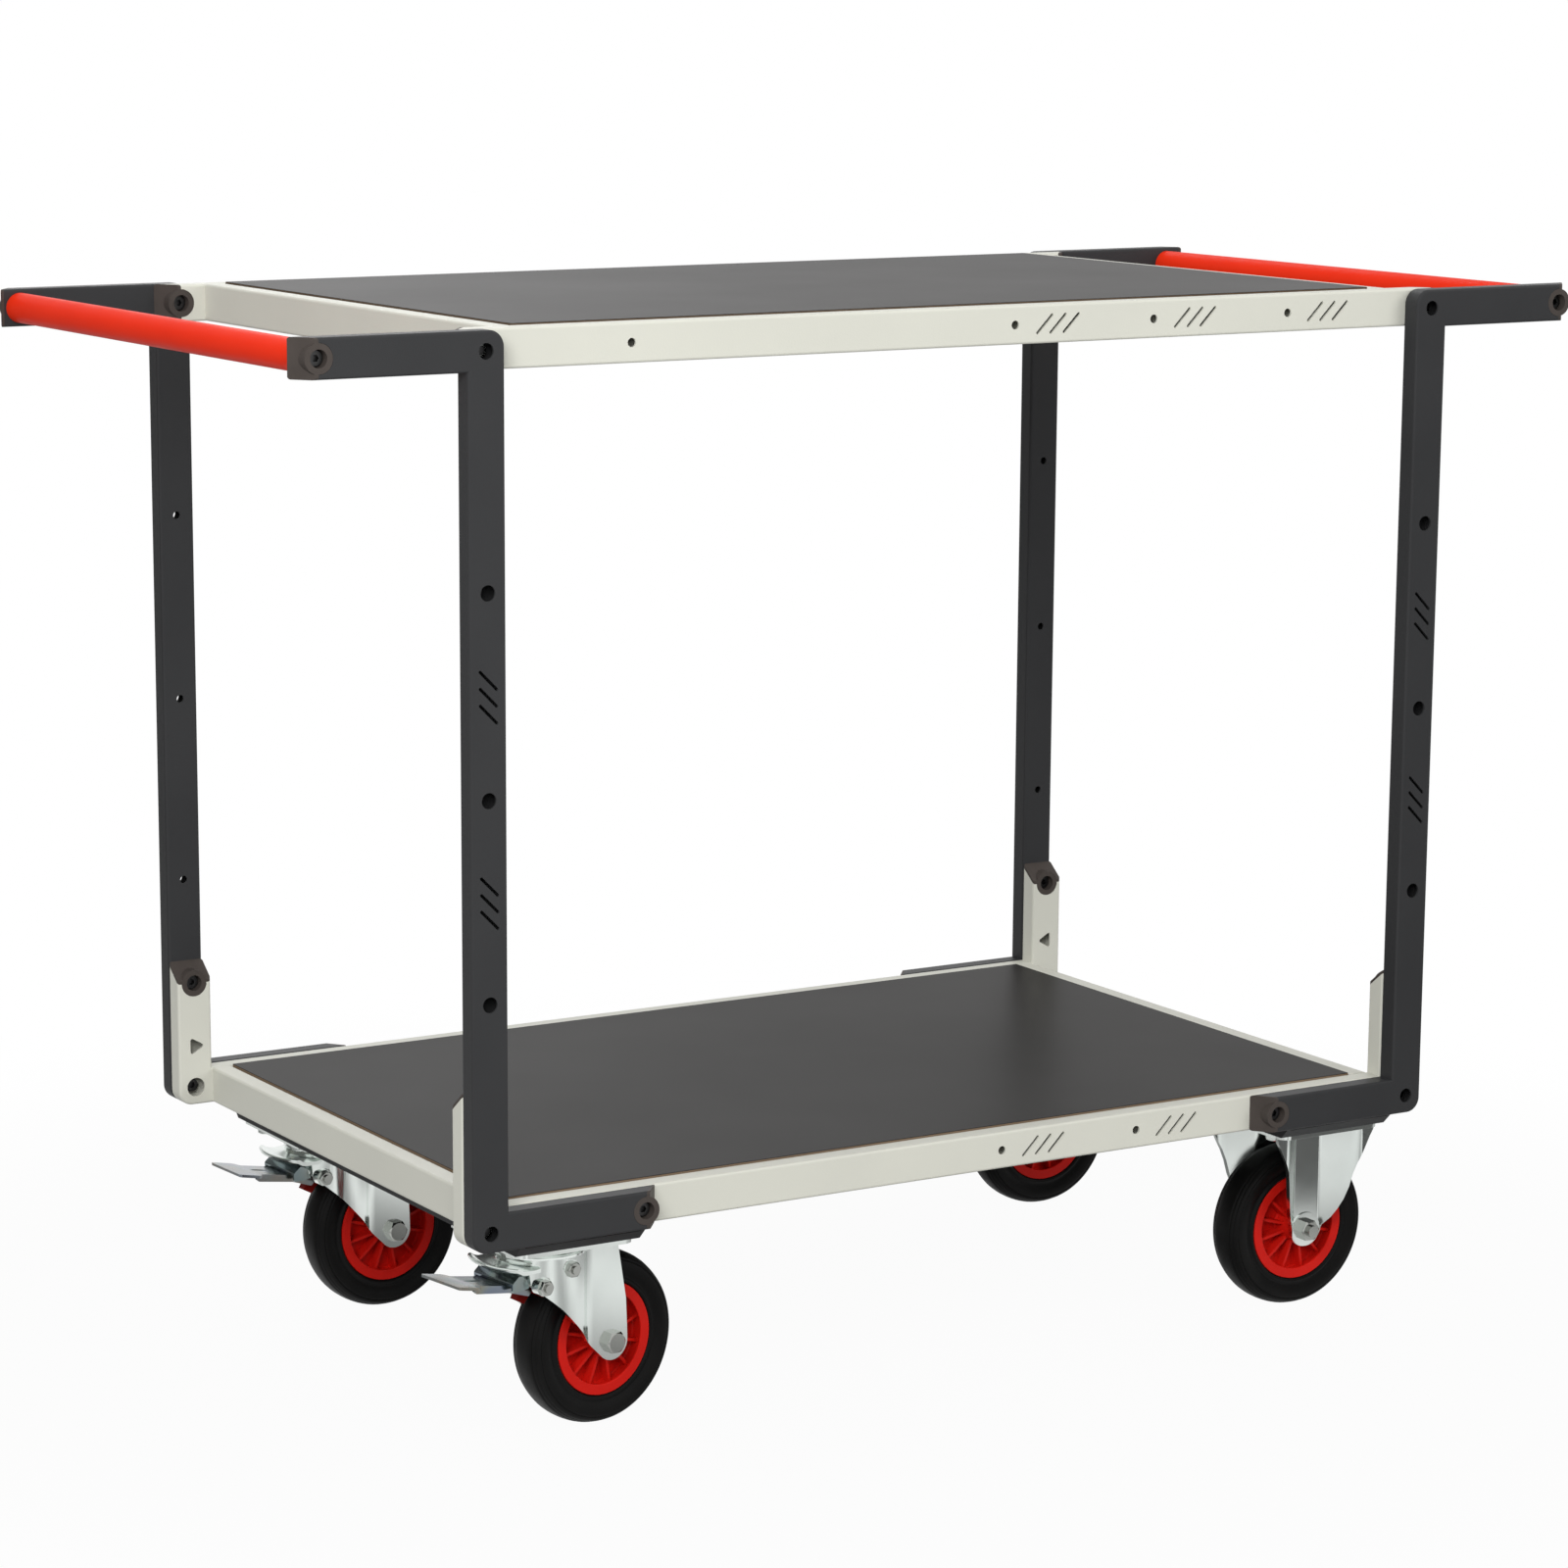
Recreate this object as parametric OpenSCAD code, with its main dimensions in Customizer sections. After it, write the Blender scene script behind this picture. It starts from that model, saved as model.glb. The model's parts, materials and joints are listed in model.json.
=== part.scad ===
// Two-shelf utility cart of bolted rectangular tube, with two fixed and two braked swivel castors.
// X runs along the length, with the swivel castors at -X. Y is the depth, with the front at -Y.
// Z is up, the floor is z = 0 and the origin is under the middle of the frame.

/* [Frame] */
// Distance between the two posts of a long side, centre to centre
post_spacing = 1007; // [900:1:1400]
// Depth of the cart over the outer faces of the posts
cart_depth = 656; // [560:1:900]
// Height between the lower and the upper corner of a post
corner_pitch = 763; // [620:1:1000]
// Reach of a post's upper arm, corner to handle
handle_arm = 155; // [110:1:220]
// Reach of a post's lower arm, corner to end screw
foot_arm = 155; // [110:1:200]
// Rise of the lower shelf's legs above its corner, to their top screw
leg_rise = 104; // [70:1:150]

/* [Tube] */
// Wide side of the rectangular tube
tube_w = 35; // [32:0.5:45]
// Narrow side of the rectangular tube
tube_t = 20; // [18:0.5:26]
// Wall of the tube
tube_wall = 2; // [1.5:0.1:3]
// Rounding of the tube's long edges
edge_r = 2.5; // [1.6:0.1:4]
// Outer radius of a bent corner
bend_r = 14; // [8:0.5:16]
// Length of the slant at a tube's end
end_slant = 16; // [12:0.5:22]

/* [Holes and slots] */
// Distance between the three holes in a post
post_hole_pitch = 178; // [120:1:230]
// Diameter of the post holes in the outer wall
post_hole_d = 14; // [10:0.5:18]
// Diameter of the same holes in the inner wall
post_pilot_d = 7.5; // [5:0.5:9]
// Distance between the holes in a shelf rail
rail_hole_pitch = 152.7; // [110:0.1:170]
// Distance of the top rail's single hole from the middle
rail_end_hole = 352.5; // [250:0.5:400]
// Diameter of the holes in a shelf rail
rail_hole_d = 8; // [5:0.5:12]
// Diameter of the access hole in a lower corner
access_hole_d = 18.5; // [14:0.5:22]
// Length of a slanted slot
slot_len = 25; // [12:0.5:30]
// Width of a slanted slot
slot_w = 2.8; // [1.5:0.1:5]
// Distance between slots of a group
slot_pitch = 14.5; // [8:0.5:16]
// Distance from a rail hole to the middle of its slot group
slot_offset = 46.6; // [42:0.2:60]
// Side of the three-cornered cut-out in a leg
cutout_side = 18; // [10:0.5:22]
// Rise of that cut-out above the lower corner
cutout_rise = 41; // [30:0.5:55]

/* [End plugs and screws] */
// Radius of a plug's round boss
boss_r = 13; // [11:0.5:14]
// Bore in the boss for a screw head
boss_bore_d = 15.5; // [14:0.5:19]
// Thickness of a plug's outer plate
plug_t = 2.6; // [1.5:0.1:4]
// Diameter of the frame screws
screw_d = 8; // [6:0.5:10]
// Diameter of their heads
screw_head_d = 13; // [10:0.5:14]
// Height of their heads
screw_head_h = 8; // [5:0.5:10]
// Clearance of plugs in tubes and of screws in holes
fit_gap = 0.2; // [0.1:0.05:0.4]

/* [Shelves] */
// Thickness of the boards
board_t = 12; // [8:0.5:18]
// Rise of the boards above their rails
board_proud = 1.5; // [0:0.1:4]
// Gap round the boards
board_gap = 1; // [0.3:0.1:3]
// Distance from a post to the outer face of the top shelf's end rail
top_end_inset = 24.5; // [20:0.5:60]
// Distance from a post to the outer face of the lower shelf's end rail
low_end_inset = 18; // [18:0.5:60]
// Distance of the cross bars from the middle
cross_bar_x = 160; // [80:1:240]
// Depth of the cross bars under the boards
cross_bar_h = 20; // [15:0.5:25]
// Width of the welded ledges that carry the boards' ends
ledge_w = 15; // [8:0.5:25]
// Thickness of those ledges
ledge_t = 3; // [2:0.1:5]

/* [Handles] */
// Diameter of the handle bars
handle_d = 28; // [24:0.5:34]

/* [Castors] */
// Diameter of the wheels
wheel_d = 162; // [150:1:170]
// Width of the tyres
tyre_w = 40; // [30:0.5:44]
// Height of a castor above its wheel
head_h = 28; // [26:0.5:34]
// Height of the carriers between castors and frame
carrier_h = 19; // [16:0.5:40]
// Distance of a castor's middle from the cart's long side
castor_inset = 109; // [100:1:140]
// Distance of the swivel axes from the middle, along the cart
swivel_x = 396; // [360:1:420]
// Distance of the fixed wheels from the middle, along the cart
fixed_x = 446.5; // [400:0.5:453]
// Trail of the swivel castors
trail = 58.5; // [52:0.5:62]
// Angle by which the front swivel castor stands turned
front_turn = 9.5; // [-30:0.5:30]
// Angle by which the back swivel castor stands turned
back_turn = 4.5; // [-30:0.5:30]
// Margin of a castor's plate beyond its bolts, along the cart
plate_margin_x = 13; // [11:0.5:18]
// Margin of a castor's plate beyond its bolts, across the cart
plate_margin_y = 30; // [24:0.5:34]
// Thickness of the castors' plates
plate_t = 4; // [3:0.5:6]
// Radius of the plates' corners
plate_corner_r = 12; // [6:0.5:14]
// Distance between the plate's bolts, along the cart
bolt_x = 94; // [90:0.5:100]
// Distance between the plate's bolts, across the cart
bolt_y = 76; // [72:0.5:80]
// Diameter of the plate's bolts
bolt_d = 10; // [8:0.5:10]

/* [Forks] */
// Sheet of the forks
fork_t = 4; // [3:0.1:5]
// Clear width between the legs of a fork
fork_gap = 52; // [50:0.5:54]
// Radius of the swivel fork's crown
crown_r = 42; // [40:0.5:44]
// Radius round the axle at the foot of a leg
foot_r = 17.5; // [14:0.5:20]
// Half width of the channel down a fixed fork's leg
channel_half = 16; // [12:0.5:18]
// Angle at which the channel's wings flare out
wing_angle = 45; // [35:1:46]
// Run of the wings before they turn towards the plate's edge
wing_run = 28.5; // [24:0.5:30]
// Angle of the wings after that turn
wing_end_angle = 2; // [1:1:8]
// Radius of the lip at the head of a swivel fork
lip_r = 66; // [62:0.5:70]
// Half width of that lip
lip_half = 36; // [30:0.5:38]
// Diameter of the axles
axle_d = 12; // [10:0.5:14]
// Width over the flats of the axles' heads and nuts
axle_hex = 19; // [16:0.5:21]
// Length of thread from a fork to the axle's end
axle_end = 13; // [10:0.5:16]
// Diameter of the spacer tube on an axle
spacer_d = 20; // [17:0.5:24]
// Diameter of the kingpins
kingpin_d = 14; // [10:0.5:18]
// Running clearance on each side of a shaft
running_gap = 0.05; // [0.02:0.01:0.09]

/* [Wheels] */
// Outer radius of the hub's flanges
rim_r = 53; // [48:0.5:56]
// Inner radius of the hub's flanges
rim_inner_r = 43.5; // [38:0.5:44]
// Thickness of the flanges
flange_t = 2.5; // [2:0.1:4]
// Number of ribs on each side of a hub
rib_count = 12; // [8:1:16]
// Thickness of a rib
rib_t = 3; // [2:0.1:4]
// Thickness of the hub's web
web_t = 4; // [3:0.1:6]
// Radius of the hub's boss
hub_boss_r = 15; // [13.5:0.5:18]

/* [Brakes] */
// Diameter of the brake pins
pin_d = 8; // [6:0.5:9]
// Width over the flats of the pins' heads and nuts
pin_hex = 13; // [11:0.5:14]
// Half width of the brake pedal
pedal_half = 28.5; // [24:0.5:32]
// Half width over the pedal's side flanges
pedal_flange = 20.5; // [17:0.5:21]
// Upward lean of the pedal at rest
pedal_lean = 10; // [6:0.5:12]
// Sheet of the pedal and release lever
pedal_t = 3; // [2:0.1:3.5]
// Gap between the brake shoe and the tyre when released
shoe_gap = 1.6; // [1.5:0.1:3]
// Half width of the brake shoe
shoe_half = 14; // [10:0.5:18]

/* [Hidden] */
$fn = 64;

anthracite = "#37393c";
cream = "#d9d7ca";
board_grey = "#4d4b49";
handle_red = "#e3341f";
zinc = "#c3c9cc";
steel = "#8d9194";
plug_taupe = "#6f6562";
hub_red = "#d8261c";
tyre_black = "#171717";

castor_h = wheel_d + head_h;
post_x = post_spacing / 2;
out_y = cart_depth / 2;
castor_y = out_y - castor_inset;
in_y = out_y - tube_t;
shelf_y = in_y - tube_t;
low_z = castor_h + carrier_h + tube_w / 2;
top_z = low_z + corner_pitch;
mitre = tube_w / 2 - bend_r;
arm_hole_x = post_x - foot_arm;
rail_holes = [arm_hole_x - 2 * rail_hole_pitch, arm_hole_x - rail_hole_pitch, arm_hole_x];
screw_hole_d = screw_d + 2 * fit_gap;
seat_y = tube_wall + fit_gap + 3;
nut_d = 11;
nut_len = 9;
nut_flange = 1.5;
end_reach = 60;
handle_tap = 30;
ledge_cut = 20;
carrier_rim = 7;
carrier_margin = 3;
wheel_r = wheel_d / 2;
plate_l = bolt_x + 2 * plate_margin_x;
plate_w = bolt_y + 2 * plate_margin_y;
bolt_hex = 16;
fork_in = fork_gap / 2;
fork_out = fork_in + fork_t;
plate_z = castor_h - plate_t;
race_h = 7;
race_gap = 1;
race_r = norm([bolt_x, bolt_y]) / 2 - bolt_hex / sqrt(3) - 2;
crown_z = plate_z - race_h - race_gap;
crown_under = crown_z - fork_t;
ring_r = rim_r - 2;
rim_half = tyre_w / 2 - 4.5;
boss_half = fork_in - 0.5;
pivot_x = -25;
pivot_z = castor_h - 41.5;
guide_x = 2;
guide_z = castor_h - 28;
pivot_seat = crown_r - 4.5;
guide_seat = crown_r + 0.7;
lip_z = crown_z - 12;
lip_t = 3.5;

// Tube section, inset from its outside, across X and from 0 to tube_t in Y
module rounded_rect(w, h, r) {
    if (r > 0) {
        translate([r, 0]) square([w - 2 * r, h]);
        translate([0, r]) square([w, h - 2 * r]);
        for (x = [r, w - r], y = [r, h - r])
            translate([x, y]) circle(r = r, $fn = 32);
    }
    else square([w, h]);
}
module section(inset) {
    w = tube_w - 2 * inset;
    translate([-w / 2, inset]) rounded_rect(w, tube_t - 2 * inset, max(edge_r - inset, 0));
}
// Draws in XZ and extrudes along Y
module along_y(y0, y1) {
    translate([0, y1, 0]) rotate([90, 0, 0]) linear_extrude(y1 - y0) children();
}
module limb_x(x0, x1, inset) {
    translate([x0, 0, 0]) rotate([0, 90, 0]) linear_extrude(x1 - x0) section(inset);
}
module limb_z(z0, z1, inset) {
    translate([0, 0, z0]) linear_extrude(z1 - z0) section(inset);
}
// Bend whose outer corner points to +X and -Z
module bend(inset) {
    translate([mitre, 0, -mitre]) rotate([-90, 0, 0]) rotate_extrude(angle = 90)
        intersection() {
            translate([bend_r - tube_w / 2, 0]) section(inset);
            square([bend_r, tube_t]);
        }
}
// Corner pieces lie round the origin, the lower corner of a post
module z_solid(inset) {
    far = handle_arm + end_reach;
    near = -foot_arm - end_reach;
    intersection() {
        limb_z(-tube_w, corner_pitch + tube_w, inset);
        along_y(-1, tube_t + 1)
            polygon([[tube_w, -mitre], [mitre, -mitre], [-tube_w, tube_w], [-tube_w, corner_pitch + mitre],
                [-mitre, corner_pitch + mitre], [tube_w, corner_pitch - tube_w]]);
    }
    intersection() {
        limb_x(near, tube_w, inset);
        along_y(-1, tube_t + 1)
            polygon([[near, -tube_w], [mitre, -tube_w], [mitre, -mitre], [-tube_w, tube_w], [near, tube_w]]);
    }
    translate([0, 0, corner_pitch]) intersection() {
        limb_x(-tube_w, far, inset);
        along_y(-1, tube_t + 1)
            polygon([[far, tube_w], [-mitre, tube_w], [-mitre, mitre], [tube_w, -tube_w], [far, -tube_w]]);
    }
    bend(inset);
    translate([0, 0, corner_pitch]) rotate([0, 180, 0]) bend(inset);
}
// U-shaped side of the lower shelf, centred on X, with its corners at z = 0
module u_solid(inset) {
    high = leg_rise + end_reach;
    intersection() {
        limb_x(-post_x - tube_w, post_x + tube_w, inset);
        along_y(-1, tube_t + 1) {
            polygon([[-post_x - mitre, -tube_w], [post_x + mitre, -tube_w], [post_x + mitre, -mitre],
                [post_x - tube_w, tube_w], [-post_x + tube_w, tube_w], [-post_x - mitre, -mitre]]);
        }
    }
    for (s = [0, 1]) mirror([s, 0, 0]) translate([post_x, 0, 0]) {
        intersection() {
            limb_z(-tube_w, high, inset);
            along_y(-1, tube_t + 1)
                polygon([[tube_w, -mitre], [mitre, -mitre], [-tube_w, tube_w], [-tube_w, high], [tube_w, high]]);
        }
        bend(inset);
    }
}
// Tube end that points to +X from its screw hole, long face at y = 0, short face at y = tube_t
module end_cut() {
    run = end_slant / tube_t;
    linear_extrude(2 * tube_w, center = true)
        polygon([[-run, tube_t + 1], [end_slant + run, -1], [end_reach + 5, -1], [end_reach + 5, tube_t + 1]]);
    translate([0, tube_t - tube_wall - 0.5, 0]) rotate([-90, 0, 0]) cylinder(r = boss_r + fit_gap, h = 5);
    translate([0, -1, 0]) rotate([-90, 0, 0]) cylinder(d = screw_hole_d, h = tube_wall + 2);
}
module end_plug() {
    step = plug_t / cos(atan(end_slant / tube_t));
    color(plug_taupe) difference() {
        union() {
            intersection() {
                limb_x(-1, end_slant + 20, 0);
                linear_extrude(2 * tube_w, center = true)
                    polygon([[0, tube_t], [end_slant, 0], [end_slant + step, 0], [step, tube_t]]);
            }
            intersection() {
                limb_x(-boss_r - 2, end_slant + 20, tube_wall + fit_gap);
                linear_extrude(2 * tube_w, center = true)
                    polygon([[-boss_r - 3, 0], [-boss_r - 3, tube_t], [1, tube_t], [end_slant + 1, 0]]);
            }
            translate([0, tube_wall + fit_gap, 0]) rotate([-90, 0, 0])
                cylinder(r = boss_r, h = tube_t - tube_wall - fit_gap);
        }
        translate([0, seat_y, 0]) rotate([-90, 0, 0]) cylinder(d = boss_bore_d, h = tube_t);
        translate([0, -1, 0]) rotate([-90, 0, 0]) cylinder(d = screw_hole_d, h = tube_t);
    }
}
// Three slanted slots about the origin in XZ, stepped along X or Z, slanting up to +X for lean = 1
module slots(dx, dz, lean) {
    for (i = [-1:1]) translate([i * dx * slot_pitch, i * dz * slot_pitch]) rotate(lean * 45) {
        square([slot_len - slot_w, slot_w], center = true);
        for (x = [-1, 1]) translate([x * (slot_len - slot_w) / 2, 0]) circle(d = slot_w, $fn = 24);
    }
}
// Post with its upper arm to +X and its outer face at y = tube_t, in its own frame
module post_shape(lean) {
    color(anthracite) difference() {
        z_solid(0);
        z_solid(tube_wall);
        translate([handle_arm, 0, corner_pitch]) end_cut();
        translate([-foot_arm, 0, 0]) mirror([1, 0, 0]) end_cut();
        along_y(tube_t - tube_wall - 1, tube_t + 1) {
            for (z = [0, corner_pitch]) translate([0, z]) circle(d = post_hole_d);
            for (i = [-1:1]) translate([0, corner_pitch / 2 + i * post_hole_pitch]) circle(d = post_hole_d);
            for (i = [-0.5, 0.5]) translate([0, corner_pitch / 2 + i * post_hole_pitch]) slots(0, 1, lean);
        }
        along_y(-1, tube_wall + 1) {
            for (z = [0, leg_rise, corner_pitch]) translate([0, z]) circle(d = nut_d + 2 * running_gap);
            for (i = [-1:1]) translate([0, corner_pitch / 2 + i * post_hole_pitch]) circle(d = post_pilot_d);
        }
    }
}
module front_post(side) {
    translate([side * post_x, -in_y, low_z]) mirror([0, 1, 0]) mirror([side < 0 ? 1 : 0, 0, 0])
        post_shape(-side);
}
module post_front_left() { front_post(-1); }
module post_front_right() { front_post(1); }
module post_back_left() { rotate([0, 0, 180]) front_post(1); }
module post_back_right() { rotate([0, 0, 180]) front_post(-1); }

// Handle bar between the upper arms' inner faces, tapped at both ends
module handle(side) {
    color(handle_red) translate([side * (post_x + handle_arm), 0, top_z]) rotate([90, 0, 0]) difference() {
        cylinder(d = handle_d, h = 2 * in_y, center = true);
        for (s = [-1, 1]) translate([0, 0, s * in_y])
            cylinder(d = screw_hole_d, h = 2 * handle_tap, center = true);
    }
}
module handle_left() { handle(-1); }
module handle_right() { handle(1); }

// Front rail pattern, seen from the front: a hole on the left and three on the right, each with slots
module rail_pattern(left_x, end_d) {
    translate([-left_x, 0]) circle(d = end_d);
    for (i = [0:2]) translate([rail_holes[i], 0]) circle(d = i == 2 ? end_d : rail_hole_d);
    for (x = rail_holes) translate([x + slot_offset, 0]) slots(1, 0, 1);
}
// Front long rail of the top shelf, long face against the posts
module top_rail() {
    color(cream) translate([0, -in_y, top_z]) difference() {
        limb_x(-post_x - end_reach, post_x + end_reach, 0);
        limb_x(-post_x - end_reach - 1, post_x + end_reach + 1, tube_wall);
        for (s = [0, 1]) mirror([s, 0, 0]) translate([post_x, 0, 0]) end_cut();
        along_y(-1, tube_wall + 1) rail_pattern(rail_end_hole, rail_hole_d);
    }
}
module top_rail_front() { top_rail(); }
module top_rail_back() { rotate([0, 0, 180]) top_rail(); }

// Tube across the cart between two side rails, with its wide side upright
module cross_tube(outer_x, z) {
    translate([outer_x, 0, z]) rotate([90, 0, 0]) difference() {
        translate([0, 0, -shelf_y]) linear_extrude(2 * shelf_y) translate([0, -tube_w / 2])
            rounded_rect(tube_t, tube_w, edge_r);
        translate([0, 0, -shelf_y - 1]) linear_extrude(2 * shelf_y + 2)
            translate([tube_wall, tube_wall - tube_w / 2])
                rounded_rect(tube_t - 2 * tube_wall, tube_w - 2 * tube_wall, max(edge_r - tube_wall, 0));
    }
}
// End rail on the +X side, with the welded ledge that carries the board's end
module end_rail(inset, z) {
    color(cream) {
        outer_x = post_x - inset;
        cross_tube(outer_x - tube_t, z);
        ledge_z = z + tube_w / 2 + board_proud - board_t - ledge_t;
        translate([outer_x - tube_t - ledge_w, ledge_cut - shelf_y, ledge_z])
            cube([ledge_w, 2 * (shelf_y - ledge_cut), ledge_t]);
    }
}
module top_end_rail_left() { mirror([1, 0, 0]) end_rail(top_end_inset, top_z); }
module top_end_rail_right() { end_rail(top_end_inset, top_z); }
module lower_end_rail_left() { mirror([1, 0, 0]) end_rail(low_end_inset, low_z); }
module lower_end_rail_right() { end_rail(low_end_inset, low_z); }

// Two square bars under a board
module cross_bars(z) {
    top = z + tube_w / 2 + board_proud - board_t;
    color(cream) for (s = [-1, 1]) translate([s * cross_bar_x, 0, top - cross_bar_h / 2]) difference() {
        cube([tube_w, 2 * shelf_y, cross_bar_h], center = true);
        cube([tube_w - 2 * tube_wall, 2 * shelf_y + 2, cross_bar_h - 2 * tube_wall], center = true);
    }
}
module top_cross_bars() { cross_bars(top_z); }
module lower_cross_bars() { cross_bars(low_z); }

module board(inset, z) {
    lx = 2 * (post_x - inset - tube_t - board_gap);
    ly = 2 * (shelf_y - board_gap);
    color(board_grey) translate([-lx / 2, -ly / 2, z + tube_w / 2 + board_proud - board_t])
        cube([lx, ly, board_t]);
}
module top_board() { board(top_end_inset, top_z); }
module lower_board() { board(low_end_inset, low_z); }

// Front U-shaped side of the lower shelf, long face against the posts
module lower_side() {
    color(cream) translate([0, -in_y, low_z]) difference() {
        u_solid(0);
        u_solid(tube_wall);
        for (s = [0, 1]) mirror([s, 0, 0]) translate([post_x, 0, leg_rise]) rotate([0, -90, 0]) end_cut();
        along_y(-1, tube_wall + 1) {
            rail_pattern(arm_hole_x, nut_d + 2 * running_gap);
            for (s = [-1, 1]) translate([s * post_x, 0]) circle(d = screw_hole_d);
        }
        along_y(tube_t - tube_wall - 1, tube_t + 1) {
            for (s = [-1, 1]) translate([s * post_x, 0]) circle(d = access_hole_d);
            for (s = [0, 1]) mirror([s, 0]) translate([post_x, cutout_rise]) cutout();
        }
    }
}
// Three-cornered cut-out with rounded corners, its tip towards the middle of the cart
module cutout() {
    r = cutout_side / 9;
    a = cutout_side / sqrt(3) - 2 * r;
    polygon([for (k = [0:2], t = [-60:24:60]) let (c = 120 * k + 180)
        [a * cos(c) + r * cos(c + t), a * sin(c) + r * sin(c + t)]]);
}
module lower_side_front() { lower_side(); }
module lower_side_back() { rotate([0, 0, 180]) lower_side(); }

// Outline of a carrier seen along the cart
module channel_side(flat, reach) {
    z0 = castor_h;
    z1 = z0 + carrier_h;
    polygon([[-reach, z1], [-reach, z1 - carrier_rim], [-flat, z0], [flat, z0], [reach, z1 - carrier_rim],
        [reach, z1]]);
}
// Folded channel, open at the top, that carries a pair of castors under the side rails
module carrier(x) {
    reach = in_y - 8;
    flat = castor_y + plate_w / 2 + 1;
    half = plate_l / 2 + carrier_margin;
    color(cream) translate([x, 0, 0]) difference() {
        translate([-half, 0, 0]) rotate([90, 0, 90]) linear_extrude(2 * half)
            channel_side(flat, reach);
        translate([plate_t - half, 0, plate_t]) rotate([90, 0, 90]) linear_extrude(2 * (half - plate_t))
            channel_side(flat, reach + 9);
        for (s = [-1, 1]) translate([0, s * castor_y, castor_h - 1]) bolt_pattern()
            cylinder(d = bolt_d + 1, h = plate_t + 2);
    }
}
module bolt_pattern() {
    for (x = [-1, 1], y = [-1, 1]) translate([x * bolt_x / 2, y * bolt_y / 2, 0]) children();
}
module castor_carrier_left() { carrier(-swivel_x); }
module castor_carrier_right() { carrier(fixed_x); }

// Places children at the four ends of the posts' arms, from their end frame
module at_handle_ends() {
    for (a = [0, 1], b = [0, 1]) mirror([a, 0, 0]) mirror([0, b, 0])
        translate([post_x + handle_arm, in_y, top_z]) children();
}
module at_foot_ends() {
    for (a = [0, 1], b = [0, 1]) mirror([a, 0, 0]) mirror([0, b, 0])
        translate([arm_hole_x, in_y, low_z]) mirror([1, 0, 0]) children();
}
module at_top_ends() {
    for (a = [0, 1], b = [0, 1]) mirror([a, 0, 0]) mirror([0, b, 0])
        translate([post_x, in_y, top_z]) mirror([0, 1, 0]) children();
}
module at_leg_ends() {
    for (a = [0, 1], b = [0, 1]) mirror([a, 0, 0]) mirror([0, b, 0])
        translate([post_x, in_y, low_z + leg_rise]) mirror([0, 1, 0]) rotate([0, -90, 0]) children();
}
module at_low_corners() {
    for (a = [0, 1], b = [0, 1]) mirror([a, 0, 0]) mirror([0, b, 0])
        translate([post_x, in_y, low_z]) mirror([0, 1, 0]) children();
}
module post_end_plugs() {
    at_handle_ends() end_plug();
    at_foot_ends() end_plug();
}
module shelf_end_plugs() {
    at_top_ends() end_plug();
    at_leg_ends() end_plug();
}
// Socket head screw along Y, its head's seat at y = 0 and its shank towards -Y
module socket_screw(len) {
    color(steel) rotate([90, 0, 0]) difference() {
        union() {
            cylinder(d = screw_d, h = len);
            translate([0, 0, -screw_head_h]) cylinder(d = screw_head_d, h = screw_head_h);
        }
        translate([0, 0, -screw_head_h - 1]) cylinder(d = screw_head_d / 2, h = screw_head_h / 2 + 1, $fn = 6);
    }
}
module handle_screws() { at_handle_ends() translate([0, seat_y, 0]) socket_screw(seat_y + 25); }
module arm_screws() { at_foot_ends() translate([0, seat_y, 0]) socket_screw(seat_y + nut_len); }
module shelf_screws() {
    at_top_ends() translate([0, seat_y, 0]) socket_screw(seat_y + nut_len);
    at_leg_ends() translate([0, seat_y, 0]) socket_screw(seat_y + nut_len);
    at_low_corners() translate([0, tube_wall, 0]) socket_screw(tube_wall + nut_len);
}
// Nut clinched into a tube wall, flush at y = 0 and reaching to -Y
module clinch_nut() {
    color(zinc) rotate([90, 0, 0]) difference() {
        union() {
            cylinder(d = nut_d, h = nut_len);
            translate([0, 0, tube_wall]) cylinder(d = nut_d + 4, h = nut_flange);
        }
        translate([0, 0, -1]) cylinder(d = screw_hole_d, h = nut_len + 2);
    }
}
module clinch_nuts() {
    at_top_ends() clinch_nut();
    at_leg_ends() clinch_nut();
    at_low_corners() clinch_nut();
    at_foot_ends() clinch_nut();
}

// Hexagon of a given width over its flats, with a chamfered far end
module hex(flats, h) {
    corner = flats / sqrt(3);
    intersection() {
        cylinder(r = corner, h = h, $fn = 6);
        rotate_extrude()
            polygon([[0, -1], [corner + 1, -1], [corner + 1, h - flats / 7], [flats * 0.46, h], [0, h]]);
    }
}
module castor_bolts() {
    color(zinc) for (q = [[-swivel_x, -1], [-swivel_x, 1], [fixed_x, -1], [fixed_x, 1]])
        translate([q[0], q[1] * castor_y, plate_z]) bolt_pattern() {
            mirror([0, 0, 1]) hex(bolt_hex, 6.4);
            cylinder(d = bolt_d, h = 2 * plate_t + 12);
            translate([0, 0, 2 * plate_t]) hex(bolt_hex, 8);
        }
}

// Castor frames: wheels run in XZ, local x points to the trailing side, z = 0 is the floor
module at_swivel(side) { translate([-swivel_x, side * castor_y, 0]) children(); }
module turned(side) { at_swivel(side) rotate([0, 0, side < 0 ? front_turn : back_turn]) children(); }
module at_swivel_wheel(side) { turned(side) translate([trail, 0, wheel_r]) children(); }
module at_fixed(side) { translate([fixed_x, side * castor_y, 0]) children(); }
module at_fixed_wheel(side) { at_fixed(side) translate([0, 0, wheel_r]) children(); }

module plate_blank() {
    translate([-plate_l / 2, -plate_w / 2, plate_z]) linear_extrude(plate_t)
        rounded_rect(plate_l, plate_w, plate_corner_r);
}
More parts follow.
